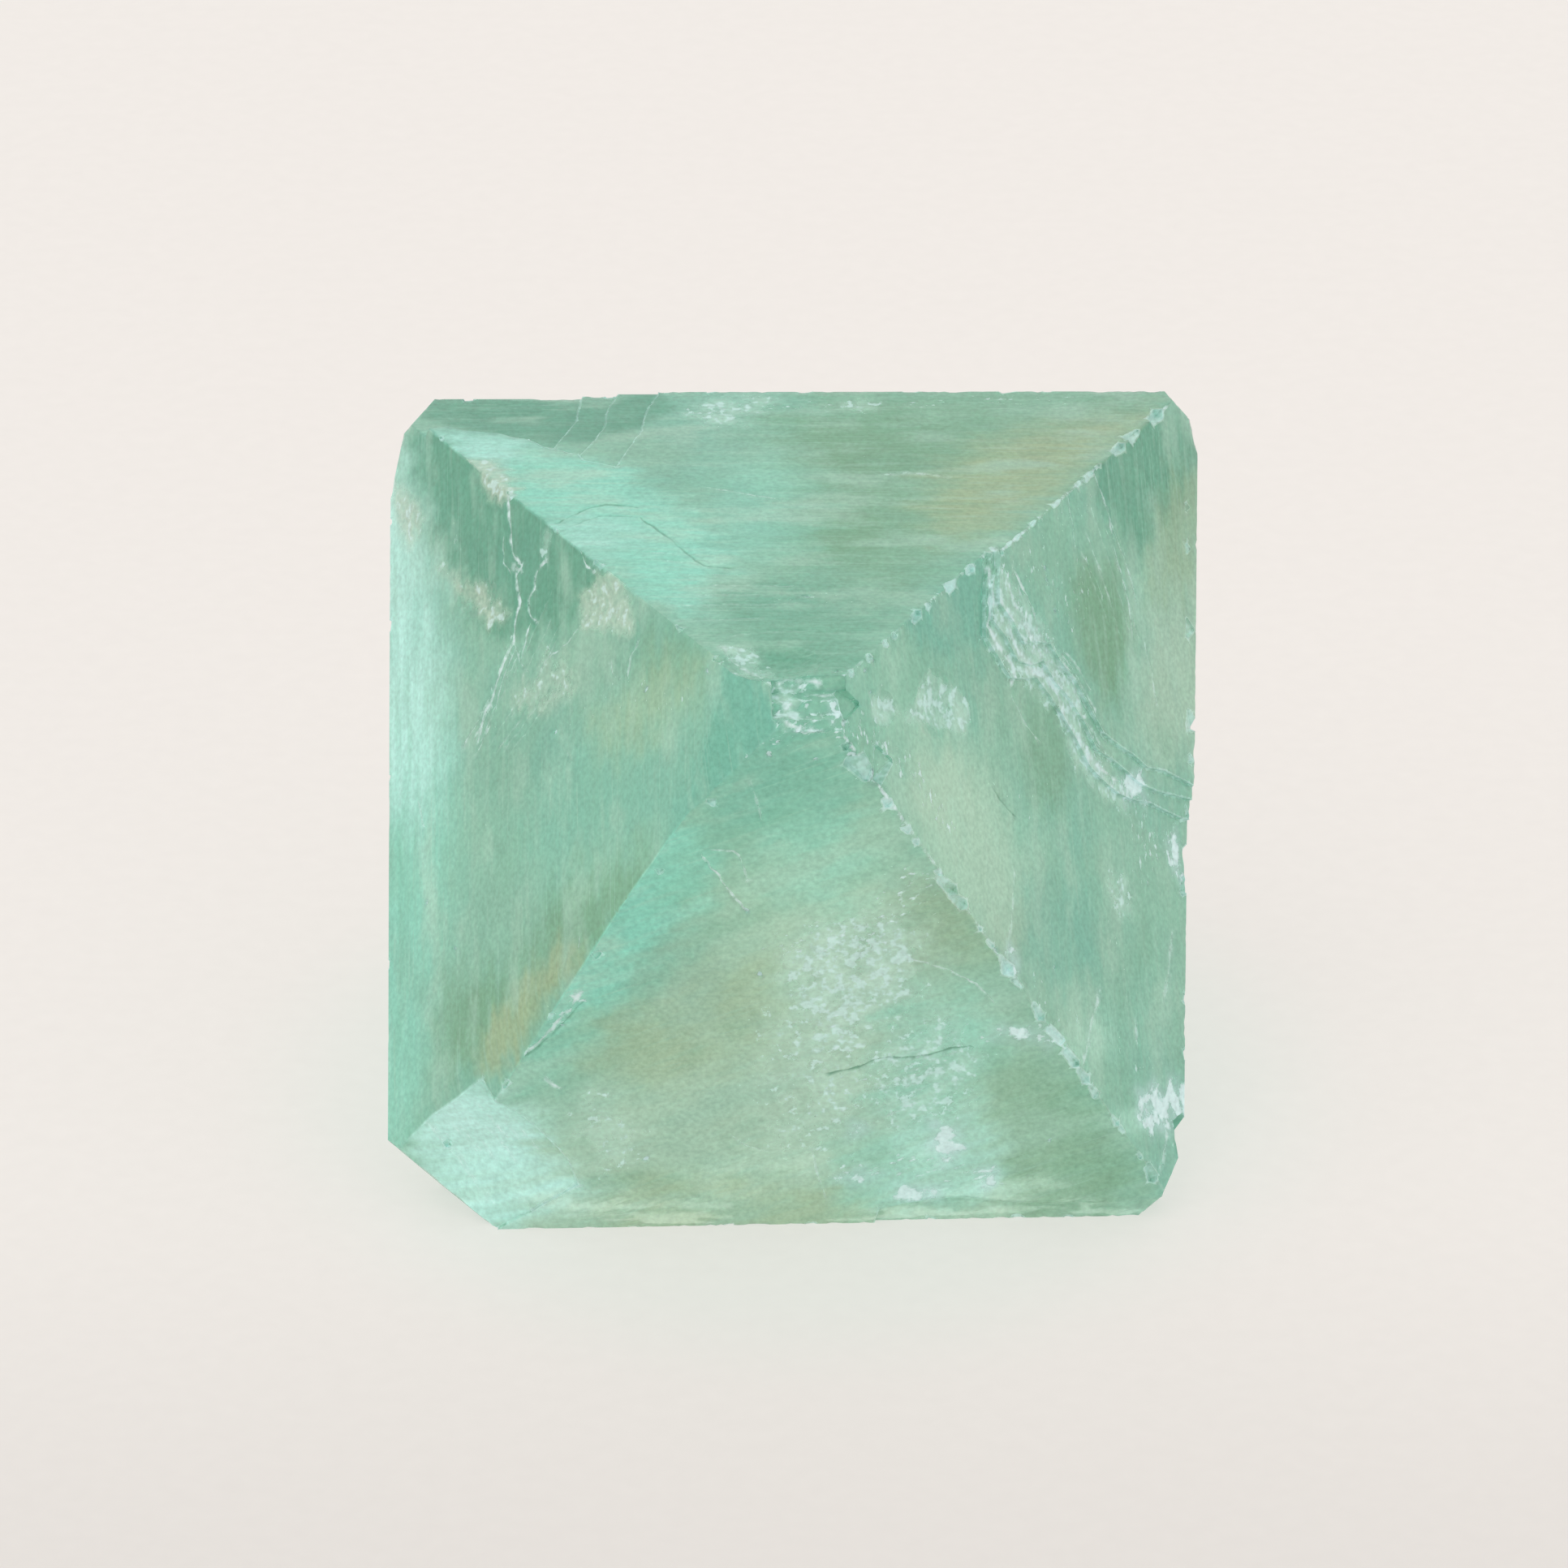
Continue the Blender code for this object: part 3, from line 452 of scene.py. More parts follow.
def field(spots, scale, seed):
    """Smooth noise from about -1 to 1 at flat places."""
    return np.array([noise.noise((x * scale, y * scale, seed)) for x, y in spots])


class Face:
    """A cleavage face: its corners, its outermost plane, its axes and the direction of its streaks."""

    def __init__(self, corners, outward, level, streak_angle):
        first, second, third = corners
        self.corners = np.array(corners)
        self.origin = first
        self.outward = outward
        self.level = level
        self.along = unit(second - first - outward * np.dot(second - first, outward))
        across = np.cross(outward, self.along)
        self.across = across if np.dot(across, third - first) > 0.0 else -across
        turn = math.radians(streak_angle)
        self.streak = np.array([math.cos(turn), math.sin(turn)])
        self.over_streak = np.array([-math.sin(turn), math.cos(turn)])

    def flat(self, points):
        """(along, across) of points."""
        return np.stack([(points - self.origin) @ self.along, (points - self.origin) @ self.across], axis=1)

    def streaked(self, spots):
        """Flat places, measured along the streaks and over them."""
        return np.stack([spots @ self.streak, spots @ self.over_streak], axis=1)


# ---------------------------------------------------------------- reading the solid

class Solid:
    """The CAD solid as welded corners and triangles, split into flat regions."""

    def __init__(self, data):
        data.calc_loop_triangles()
        raw = np.array([vertex.co for vertex in data.vertices]) / MM
        self.points, index = np.unique(np.round(raw, 4), axis=0, return_inverse=True)
        corners = index.reshape(-1)[np.array([triangle.vertices for triangle in data.loop_triangles])]
        self.triangles = corners[[len(set(triangle)) == 3 for triangle in corners]]
        first, second, third = (self.points[self.triangles[:, place]] for place in range(3))
        cross = np.cross(second - first, third - first)
        doubled = np.linalg.norm(cross, axis=1)
        self.normals = cross / np.maximum(doubled, 1e-12)[:, None]
        self.areas = doubled / 2.0
        self.beside = {}
        for number, triangle in enumerate(self.triangles):
            for edge in edges_of(triangle):
                self.beside.setdefault(edge, []).append(number)
        self.regions, self.outwards = self.flat_regions()

    def flat_regions(self):
        """Number of the flat region of every triangle, and the outward direction of each region."""
        neighbours = [[] for _ in self.triangles]
        for pair in self.beside.values():
            for number in pair:
                neighbours[number].extend(other for other in pair if other != number)
        regions = np.full(len(self.triangles), -1)
        outwards = []
        for seed in np.argsort(-self.areas):
            if regions[seed] >= 0:
                continue
            outward = self.normals[seed]
            level = self.points[self.triangles[seed][0]] @ outward
            regions[seed] = len(outwards)
            waiting = [seed]
            while waiting:
                for other in neighbours[waiting.pop()]:
                    if regions[other] < 0 and self.lies_in(other, outward, level):
                        regions[other] = len(outwards)
                        waiting.append(other)
            outwards.append(outward)
        return regions, np.array(outwards)

    def lies_in(self, number, outward, level):
        """Whether a triangle lies in the plane of a region."""
        off = np.abs(self.points[self.triangles[number]] @ outward - level).max()
        alike = self.normals[number] @ outward > 0.5 or self.areas[number] < SLIVER_AREA
        return off < FLAT_TOLERANCE and alike

    def faces(self):
        """The eight cleavage faces and the corners where they meet, as the solid has them."""
        planes = {}
        for name, (towards, _, _) in FACES.items():
            alike = (self.normals @ direction(*towards) > SAME_DIRECTION) & (self.areas > FACE_AREA)
            outward = unit((self.normals[alike] * self.areas[alike, None]).sum(axis=0))
            planes[name] = (outward, (self.points[self.triangles[alike]].reshape(-1, 3) @ outward).max())
        corners = {}
        for name, meeting in CORNERS.items():
            outwards, levels = zip(*(planes[face] for face in meeting))
            corners[name] = np.linalg.solve(outwards, levels)
        faces = {}
        for name, (_, names, streak_angle) in FACES.items():
            faces[name] = Face([corners[corner] for corner in names], *planes[name], streak_angle)
        return faces, corners


def edges_of(triangle):
    """The three edges of a triangle, lowest point number first."""
    a, b, c = triangle
    return [(min(pair), max(pair)) for pair in ((a, b), (b, c), (c, a))]


def edge_wear(names, place, tip):
    """How worn the edge between some faces is at a place."""
    along_ridge = RIDGE_WEAR.get(frozenset(names))
    if along_ridge:
        return float(np.interp(np.linalg.norm(place - tip), *zip(*along_ridge)))
    return EDGE_WEAR.get(frozenset(names), PLAIN_EDGE_WEAR)


def nearest_face(middle, outward, faces):
    """Name of the cleavage face that a region belongs to, by its place and the way it looks."""
    def apart(name):
        face = faces[name]
        return abs(middle @ face.outward - face.level) + TURNED_AWAY * (1.0 - outward @ face.outward)
    return min(faces, key=apart)


# ---------------------------------------------------------------- lines on the faces

def wander(path, reach, dice):
    """A path with more points, which stray a little to either side."""
    points = []
    for start, end in zip(path, path[1:]):
        run = end - start
        pieces = max(1, round(np.linalg.norm(run) / WANDER_STEP))
        side = np.array([-run[1], run[0]]) / max(np.linalg.norm(run), 1e-9)
        for piece in range(pieces):
            points.append(start + run * piece / pieces + side * dice.uniform(-reach, reach))
    points.append(path[-1])
    return np.array(points)


def places(text):
    """The (along, across) places of a written path."""
    return np.array([[float(part) for part in place.split(",")] for place in text.split()])


def draw_lines():
    """The thin lines of every face, with their wandering paths."""
    dice = random.Random(LINE_SEED)
    drawn = {name: [] for name in FACES}
    for kind, face, strength, half_width, depth, path in LINES:
        drawn[face].append((kind, strength, half_width, depth, wander(places(path), LINE_STRAY, dice)))
    for face, strength, half_width, depth, count, first, second in STRANDS:
        for number in range(count):
            share = (number + dice.random()) / count
            path = (1.0 - share) * places(first) + share * places(second)
            path = part_of(path, dice.uniform(0.0, 0.5), dice.uniform(0.55, 1.0))
            look = ("crack", strength * dice.uniform(0.5, 1.0), half_width * dice.uniform(0.7, 1.3), depth)
            drawn[face].append(look + (wander(path, STRAND_STRAY, dice),))
    return drawn


def part_of(path, start, end):
    """The stretch of a path between two shares of its points."""
    shares = np.linspace(start, end, len(path)) * (len(path) - 1)
    return np.stack([np.interp(shares, range(len(path)), path[:, axis]) for axis in (0, 1)], axis=1)


def line_points(path, half_width):
    """Rows of mesh points beside a line, close enough to carry it."""
    rows = []
    for start, end in zip(path, path[1:]):
        run = end - start
        side = np.array([-run[1], run[0]]) / max(np.linalg.norm(run), 1e-9)
        pieces = max(1, round(np.linalg.norm(run) / LINE_STEP))
        for piece in range(pieces):
            spot = start + run * piece / pieces
            rows.extend(spot + side * half_width * offset for offset in (-2.4, -1.0, 0.0, 1.0, 2.4))
    return rows


def dot_points(centre, radius):
    """Rings of mesh points round a lone break, and one in its middle."""
    ring = [centre]
    for step in range(7):
        angle = math.tau / 7.0 * step
        toward = np.array([math.cos(angle), math.sin(angle)])
        ring.extend(centre + toward * radius * share for share in (0.55, 0.95, 1.4))
    return ring


# ---------------------------------------------------------------- meshing a flat region

def inside(spots, starts, ends):
    """Which spots lie inside the closed loops made of the given edges."""
    result = np.zeros(len(spots), bool)
    for (x1, y1), (x2, y2) in zip(starts, ends):
        if y1 == y2:
            continue
        crosses = (spots[:, 1] >= min(y1, y2)) & (spots[:, 1] < max(y1, y2))
        result ^= crosses & (spots[:, 0] < x1 + (spots[:, 1] - y1) * (x2 - x1) / (y2 - y1))
    return result


def tree_of(spots):
    """Search tree over flat or spatial places."""
    tree = kdtree.KDTree(len(spots))
    for number, spot in enumerate(spots):
        tree.insert(spot if len(spot) == 3 else (spot[0], spot[1], 0.0), number)
    tree.balance()
    return tree


def clear_of(spots, tree, distance):
    """The spots that keep a distance from everything in a tree."""
    clear = [spot for spot in spots if tree.find((*spot, 0.0))[2] > distance]
    return np.array(clear).reshape(-1, 2)


def thinned(spots, gap):
    """Spots with near twins taken out."""
    _, first = np.unique(np.round(spots / gap), axis=0, return_index=True)
    return spots[np.sort(first)]


def hexagonal(low, high, step):
    """Grid of points at the corners of equal triangles."""
    rows = []
    for row, y in enumerate(np.arange(low[1], high[1], step * math.sqrt(0.75))):
        xs = np.arange(low[0] + (step / 2.0 if row % 2 else 0.0), high[0], step)
        rows.append(np.stack([xs, np.full(len(xs), y)], axis=1))
    return np.concatenate(rows)


def beside_border(starts, ends, offset):
    """Points a little to both sides of the middle of every border edge."""
    run = ends - starts
    side = np.stack([-run[:, 1], run[:, 0]], axis=1) / np.maximum(np.linalg.norm(run, axis=1), 1e-9)[:, None]
    middle = (starts + ends) / 2.0
    return np.concatenate([middle + side * offset, middle - side * offset])


def distance_to_edges(spots, starts, ends):
    """Distance of spots from the nearest of some edges."""
    nearest = np.full(len(spots), 1e9)
    for start, run in zip(starts, np.array(ends) - starts):
        share = np.clip(((spots - start) @ run) / max(run @ run, 1e-12), 0.0, 1.0)
        nearest = np.minimum(nearest, np.linalg.norm(spots - start - share[:, None] * run, axis=1))
    return nearest


def cells_inside(cells, walls):
    """The triangles inside closed walls, told by how many walls lie between them and the outside."""
    beside = {}
    for number, cell in enumerate(cells):
        for edge in edges_of(cell):
            beside.setdefault(edge, []).append(number)
    inner = {pair[0]: edge in walls for edge, pair in beside.items() if len(pair) == 1}
    waiting = list(inner)
    while waiting:
        number = waiting.pop()
        for edge in edges_of(cells[number]):
            for other in beside[edge]:
                if other not in inner:
                    inner[other] = inner[number] != (edge in walls)
                    waiting.append(other)
    return [cells[number] for number in sorted(inner) if inner[number]]


def inner_points(border, starts, ends, step, fine):
    """Mesh points inside a region: rows along its border, dense by its marks, even elsewhere."""
    rows = beside_border(starts, ends, BORDER_ROW)
    rows = clear_of(rows[inside(rows, starts, ends)], tree_of(border), 0.75 * BORDER_ROW)
    chosen = thinned(rows, 0.1)
    if len(fine):
        fine = thinned(fine, 0.04)
        fine = clear_of(fine[inside(fine, starts, ends)], tree_of(border), 0.06)
        chosen = clear_of(chosen, tree_of(fine), 0.08) if len(fine) else chosen
        chosen = np.concatenate([chosen, fine])
    even = hexagonal(border.min(axis=0), border.max(axis=0), step)
    even = clear_of(even[inside(even, starts, ends)], tree_of(border), 0.55 * step)
    if len(chosen):
        chosen = chosen[distance_to_edges(chosen, starts, ends) > EDGE_GAP]
        even = clear_of(even, tree_of(chosen), 0.5 * step)
    return np.concatenate([chosen, even])


class StoneMesh:
    """The stone's mesh as it grows: points, triangles, and the region and face of each triangle."""

    def __init__(self, solid, faces, tip):
        self.solid = solid
        self.faces = faces
        self.tip = tip
        self.points = [tuple(point) for point in solid.points]
        self.triangles, self.regions, self.names, self.whole = [], [], [], []
        self.areas, self.middles = [], []
        self.chains = {}

    def add_point(self, point):
        self.points.append(tuple(point))
        return len(self.points) - 1

    def split_borders(self):
        """Cut every edge between two regions into short pieces."""
        points, regions = self.solid.points, self.solid.regions
        for (a, b), pair in self.solid.beside.items():
            if regions[pair[0]] == regions[pair[-1]]:
                continue
            run = points[b] - points[a]
            pieces = max(1, round(np.linalg.norm(run) / EDGE_STEP))
            middle = [self.add_point(points[a] + run * piece / pieces) for piece in range(1, pieces)]
            self.chains[(a, b)] = [a] + middle + [b]

    def links_of(self, members):
        """The short border edges round some triangles of one region."""
        links = []
        for triangle in self.solid.triangles[members]:
            for edge in edges_of(triangle):
                chain = self.chains.get(edge)
                if chain:
                    links.extend(zip(chain, chain[1:]))
        return links

    def keep(self, corners, region, name, whole):
        if len(set(corners)) == 3:
            self.triangles.append(tuple(int(corner) for corner in corners))
            self.regions.append(region)
            self.names.append(name)
            self.whole.append(whole)

    def fill(self, region, fine):
        """Fill one flat region with well-shaped triangles."""
        members = np.flatnonzero(self.solid.regions == region)
        outward = self.solid.outwards[region]
        area = self.solid.areas[members].sum()
        middles = self.solid.points[self.solid.triangles[members]].mean(axis=1)
        middle = self.solid.areas[members] @ middles / area
        self.middles.append(middle)
        name = nearest_face(middle, outward, self.faces)
        whole = bool(outward @ self.faces[name].outward > SAME_DIRECTION and area > WHOLE_FACE_AREA)
        self.areas.append(area)
        links = self.links_of(members)
        numbers = sorted({number for link in links for number in link})
        if len(numbers) == 3:
            self.keep(self.solid.triangles[members[0]], region, name, whole)
            return
        face = self.faces[name]
        origin = np.array(self.points[numbers[0]])
        x_axis = face.along if whole else unit(np.array(self.points[numbers[1]]) - origin)
        x_axis = unit(x_axis - outward * (x_axis @ outward))
        y_axis = np.cross(outward, x_axis)
        local = {number: place for place, number in enumerate(numbers)}
        border = self.flattened(numbers, origin, x_axis, y_axis)
        edges = [(local[a], local[b]) for a, b in links]
        starts, ends = border[[a for a, _ in edges]], border[[b for _, b in edges]]
        step = BREAK_STEP if not whole else NEAR_STEP if name in NEAR_FACES else FAR_STEP
        marks = np.zeros((0, 2))
        if outward @ face.outward > STEEPEST_MARKED:
            along, across = fine[name].T
            marks = face.origin + np.outer(along, face.along) + np.outer(across, face.across)
            rise = ((origin - marks) @ outward) / (outward @ face.outward)
            marks = marks + np.outer(rise, face.outward)
            marks = np.stack([(marks - origin) @ x_axis, (marks - origin) @ y_axis], axis=1)
        inner = inner_points(border, starts, ends, step, marks)
        numbers += [self.add_point(origin + x_axis * x + y_axis * y) for x, y in inner]
        self.triangulate(np.concatenate([border, inner]), edges, numbers, (region, name, whole))

    def flattened(self, numbers, origin, x_axis, y_axis):
        local = np.array([self.points[number] for number in numbers]) - origin
        return np.stack([local @ x_axis, local @ y_axis], axis=1)

    def triangulate(self, spots, edges, numbers, marks):
        """Delaunay triangles over flat spots, kept where they lie inside the border."""
        result = geometry.delaunay_2d_cdt([Vector(spot) for spot in spots], edges, [], 0, 1e-7, True)
        _, drawn, cells, sources, edge_sources = result[:5]
        walls = {(min(edge), max(edge)) for edge, source in zip(drawn, edge_sources) if source}
        for cell in cells_inside(cells, walls):
            self.keep([numbers[sources[place][0]] for place in cell], *marks)


def mesh_stone(solid, faces, tip, lines):
    """The solid again, with the same faces and breaks but with a fine and even mesh."""
    fine = {}
    for name in faces:
        spots = [spot for _, _, half_width, _, path in lines[name] for spot in line_points(path, half_width)]
        for *centre, radius in DOTS.get(name, ()):
            spots += dot_points(np.array(centre), radius)
        fine[name] = np.array(spots).reshape(-1, 2)
    mesh = StoneMesh(solid, faces, tip)
    mesh.split_borders()
    for region in range(len(solid.outwards)):
        mesh.fill(region, fine)
    return mesh


# ---------------------------------------------------------------- masks

def distance_to_path(spots, path):
    """Distance of spots from a path."""
    return distance_to_edges(spots, path[:-1], path[1:])


def cloud_mask(spots, outline, softness):
    """1 well inside an outline, 0 well outside it."""
    border = distance_to_path(spots, np.concatenate([outline, outline[:1]]))
    signed = np.where(inside(spots, outline, np.roll(outline, -1, axis=0)), border, -border)
    return smooth(0.5 + signed / (2.0 * softness))


def fraying(face, spots):
    """Uneven shift that frays the borders of the clouds, most of all along the streaks."""
    across = np.stack([field(spots, 0.8, 11.3), field(spots, 0.8, 47.9)], axis=1)
    fine = np.stack([field(spots, 2.6, 5.3), field(spots, 2.6, 71.7)], axis=1)
    streaked = face.streaked(spots) * np.array([0.3, 1.8])
    return 0.8 * across + 0.5 * fine + 1.2 * field(streaked, 1.0, 33.0)[:, None] * face.streak


def paint(name, face, points, lines):
    """Masks of the points on one face, and how deep its cracks cut."""
    spots = face.flat(points)
    frayed = fraying(face, spots)
    masks = {kind: np.zeros(len(points)) for kind in KINDS}
    depth = np.zeros(len(points))
    for kind, strength, softness, outline in CLOUDS[name]:
        mask = strength * cloud_mask(spots + frayed * min(0.9, softness), places(outline), softness)
        masks[kind] = np.maximum(masks[kind], mask)
    for strength, spread, path in GLINTS[name]:
        mask = strength * np.exp(-(distance_to_path(spots + 0.6 * frayed, places(path)) / spread) ** 2)
        masks["glint"] = np.maximum(masks["glint"], mask)
    uneven = 0.75 + 0.5 * field(spots, 1.6, 91.0)
    for kind, strength, half_width, groove, path in lines:
        profile = smooth(1.7 - distance_to_path(spots, path) / (half_width * uneven))
        profile = profile * np.clip(uneven * 1.2, 0.0, 1.0)
        masks[kind] = np.maximum(masks[kind], strength * profile)
        depth = np.maximum(depth, groove * profile)
    for *centre, radius in DOTS.get(name, ()):
        local = spots - centre
        angle = np.arctan2(local[:, 1], local[:, 0])
        ragged = 1.0 + 0.25 * np.sin(2.0 * angle + centre[0]) + 0.2 * np.sin(3.0 * angle + centre[1])
        profile = smooth(2.2 - 2.0 * np.linalg.norm(local, axis=1) / (radius * ragged))
        masks["frost"] = np.maximum(masks["frost"], profile)
        depth = np.maximum(depth, 0.4 * radius * profile)
    return masks, depth


# ---------------------------------------------------------------- relief

def relief(face, points, masks):
    """Height of the natural unevenness of a face: gentle swells, fine steps and rough patches."""
    spots = face.flat(points)
    streaked = face.streaked(spots) * np.array([0.18, 1.1])
    swell = 0.03 * field(spots, 0.16, 3.1)
    steps = 0.02 * np.round(field(streaked, 1.0, 8.4) * 3.0) / 3.0 + 0.012 * field(streaked, 2.6, 19.5)
    rough = 0.07 * field(spots, 1.7, 27.7) + 0.05 * field(spots, 4.1, 2.6)
    broken = np.maximum(masks["frost"], np.maximum(0.2 * masks["veil"], 0.35 * masks["glint"]))
    broken = np.clip(broken, 0.0, 1.0)
    return swell + steps - broken * (0.04 + np.abs(rough))


def hackle(face, points):
    """Depth of the torn, streaky surface of a break."""
    spots = face.flat(points)
    streaked = face.streaked(spots) * np.array([0.7, 3.2])
    return 0.015 + 0.05 * np.abs(field(streaked, 1.0, 61.0)) + 0.045 * np.abs(field(spots, 2.2, 15.0))


def unevenness(face, points):
    """Shift within a face that makes the outlines of its scars uneven, far from its edges."""
    spots = face.flat(points)
    edges = face.flat(face.corners)
    distance = distance_to_path(spots, np.concatenate([edges, edges[:1]]))
    inward = smooth((distance - EDGE_ZONE[0]) / (EDGE_ZONE[1] - EDGE_ZONE[0]))
    sideways, upward = (
        0.6 * field(spots, 0.45, seed) + 0.25 * field(spots, 1.2, seed + 40.0) for seed in (14.3, 52.8)
    )
    return inward[:, None] * (np.outer(sideways, face.along) + np.outer(upward, face.across))


def ridge_points(mesh):
    """Points on the sharp edges between regions: point number -> (outward direction, wear)."""
    outwards, names = {}, {}
    for triangle, name, whole, region in zip(mesh.triangles, mesh.names, mesh.whole, mesh.regions):
        for corner in triangle:
            outwards.setdefault(corner, {})[region] = mesh.solid.outwards[region]
            names.setdefault(corner, set()).update([name] if whole else [])
    ridges = {}
    for corner, meeting in outwards.items():
        outward = unit(sum(meeting.values()))
        if len(meeting) > 1 and min(outward @ normal for normal in meeting.values()) < RIDGE_SHARPNESS:
            ridges[corner] = (outward, edge_wear(names[corner], np.array(mesh.points[corner]), mesh.tip))
    return ridges


def wear_edges(points, ridges):
    """How far worn edges are pulled in at each point, how it glints, and its white rim."""
    corners = list(ridges)
    tree = tree_of([points[corner] for corner in corners])
    pull = np.zeros_like(points)
    glint, rim = np.zeros(len(points)), np.zeros(len(points))
    for number, point in enumerate(points):
        _, place, gap = tree.find(point)
        if gap > WEAR_REACH:
            continue
        outward, wear = ridges[corners[place]]
        spot = Vector(points[corners[place]])
        patch = noise.noise(spot * 0.35 + Vector((3.0, 8.0, 1.0)))
        coarse = noise.noise(spot * 1.3)
        fine = noise.noise(spot * 3.4 + Vector((9.0, 4.0, 2.0)))
        chip = float(smooth((coarse + 0.8 * fine + 0.6 * patch - 0.1) * 2.0))
        fade = 1.0 - gap / WEAR_REACH
        pull[number] = -outward * (ROUNDING + WEAR_DEPTH * wear * chip) * fade ** 1.6
        glint[number] = wear * fade * (0.85 + 0.6 * chip)
        broken = float(smooth((coarse + fine + patch + 0.2) * 1.8))
        rim[number] = wear ** 2 * float(smooth(1.8 - gap / RIM_WIDTH)) * broken
    return pull, glint, rim


def break_patches(mesh):
    """How white every break triangle is: small chips on worn edges most, wide scars not at all."""
    solid = mesh.solid
    count = len(solid.outwards)
    whole = np.zeros(count, bool)
    whole[np.array(mesh.regions)[np.array(mesh.whole)]] = True
    beside = [set() for _ in range(count)]
    for pair in solid.beside.values():
        first, second = solid.regions[pair[0]], solid.regions[pair[-1]]
        beside[first].add(second)
        beside[second].add(first)
    names = dict(zip(mesh.regions, mesh.names))
    white = np.zeros(count)
    seen = set()
    for region in range(count):
        if whole[region] or region in seen:
            continue
        patch, waiting, edge_names = [], [region], set()
        seen.add(region)
        while waiting:
            member = waiting.pop()
            patch.append(member)
            edge_names.update(names[other] for other in beside[member] if whole[other])
            fresh = [other for other in beside[member] if not whole[other] and other not in seen]
            seen.update(fresh)
            waiting.extend(fresh)
        area = sum(mesh.areas[member] for member in patch)
        wear = edge_wear(edge_names, mesh.middles[patch[0]], mesh.tip) if len(edge_names) == 2 else 0.0
        small = smooth((CHIP_AREAS[1] - area) / (CHIP_AREAS[1] - CHIP_AREAS[0]))
        white[patch] = small * (CHIP_NORMAL_WHITE + (1.0 - CHIP_NORMAL_WHITE) * wear)
        steep = [member for member in patch
                 if solid.outwards[member] @ mesh.faces[names[member]].outward < STEEP_WALL]
        white[steep] = np.maximum(white[steep], WALL_WHITE)
    return white


def shape_stone(mesh, lines):
    """Final places and masks of every point."""
    points = np.array(mesh.points)
    triangles, names, whole = np.array(mesh.triangles), np.array(mesh.names), np.array(mesh.whole)
    regions = np.array(mesh.regions)
    masks = {kind: np.zeros(len(points)) for kind in KINDS}
    shift = np.zeros_like(points)
    meeting = {}
    for triangle, region in zip(mesh.triangles, mesh.regions):
        for corner in triangle:
            meeting.setdefault(corner, set()).add(region)
    border = np.array([len(meeting.get(number, ())) != 1 for number in range(len(points))])
    for name, face in mesh.faces.items():
        mine = np.unique(triangles[names == name])
        painted, depth = paint(name, face, points[mine], lines[name])
        for kind in KINDS:
            masks[kind][mine] = np.maximum(masks[kind][mine], painted[kind])
        smooth_part = np.isin(mine, triangles[(names == name) & whole])
        height = relief(face, points[mine], painted) - depth
        if name == "base":
            height = np.minimum(height, 0.0)
        shift[mine[smooth_part]] = face.outward * height[smooth_part][:, None]
    masks["break"] = np.zeros(len(points))
    white = break_patches(mesh)
    for region in np.unique(regions[~whole]):
        corners = np.unique(triangles[regions == region])
        face = mesh.faces[names[regions == region][0]]
        masks["break"][corners] = np.maximum(masks["break"][corners], white[region])
        torn = hackle(face, points[corners]) * min(1.0, 3.0 / (1.0 + mesh.areas[region]))
        shift[corners] = -mesh.solid.outwards[region] * torn[:, None]
    shift[border] = 0.0
    for name in FAR_FACES:
        mine = np.unique(triangles[names == name])
        mine = mine[~np.isin(mine, triangles[names != name])]
        shift[mine] += unevenness(mesh.faces[name], points[mine])
    pull, glint, rim = wear_edges(points, ridge_points(mesh))
    masks["glint"] = np.maximum(masks["glint"], glint)
    masks["crack"] = np.maximum(masks["crack"], rim)
    moved = points + shift + pull
    moved[:, 2] = np.maximum(moved[:, 2], points[:, 2].min())
    return moved, masks


# ---------------------------------------------------------------- the Blender object

def grain_coordinates(mesh):
    """For every triangle corner: along the streaks, over them, and a number for the face."""
    points, triangles = np.array(mesh.points), np.array(mesh.triangles)
    names = np.array(mesh.names)
    grain = np.zeros((len(triangles), 3, 3))
    for index, (name, face) in enumerate(mesh.faces.items()):
        mine = names == name
        streaked = face.streaked(face.flat(points[triangles[mine]].reshape(-1, 3)))
        rows = np.concatenate([streaked, np.full((len(streaked), 1), FACE_SPACING * index)], axis=1)
        grain[mine] = rows.reshape(-1, 3, 3)
    return grain.reshape(-1, 3)


def make_object(mesh, points, masks):
    """The stone as a Blender object, sharp along its edges and smooth between them."""
    data = bpy.data.meshes.new("fluorite_stone")
    used, index = np.unique(np.array(mesh.triangles), return_inverse=True)
    data.from_pydata((points[used] * MM).tolist(), [], index.reshape(-1, 3).tolist())
    data.update()
    data.polygons.foreach_set("use_smooth", [True] * len(data.polygons))
    meeting = {}
    for triangle, region in zip(index.reshape(-1, 3).tolist(), mesh.regions):
        for edge in edges_of(triangle):
            meeting.setdefault(edge, set()).add(region)
    sharp = data.attributes.new("sharp_edge", "BOOLEAN", "EDGE")
    sides = [len(meeting[tuple(sorted(edge.vertices))]) for edge in data.edges]
    sharp.data.foreach_set("value", [count > 1 for count in sides])
    for kind, values in masks.items():
        layer = data.attributes.new(kind, "FLOAT", "POINT")
        layer.data.foreach_set("value", values[used].astype(np.float32))
    layer = data.attributes.new("grain", "FLOAT_VECTOR", "CORNER")
    layer.data.foreach_set("vector", grain_coordinates(mesh).astype(np.float32).ravel())
    stone = bpy.data.objects.new("fluorite_stone", data)
    bpy.context.scene.collection.objects.link(stone)
    return stone


# ---------------------------------------------------------------- material

def screen(red, green, blue):
    """Linear colour of an 8-bit screen colour."""
    values = [channel / 255.0 for channel in (red, green, blue)]
    return tuple(v / 12.92 if v <= 0.04045 else ((v + 0.055) / 1.055) ** 2.4 for v in values) + (1.0,)


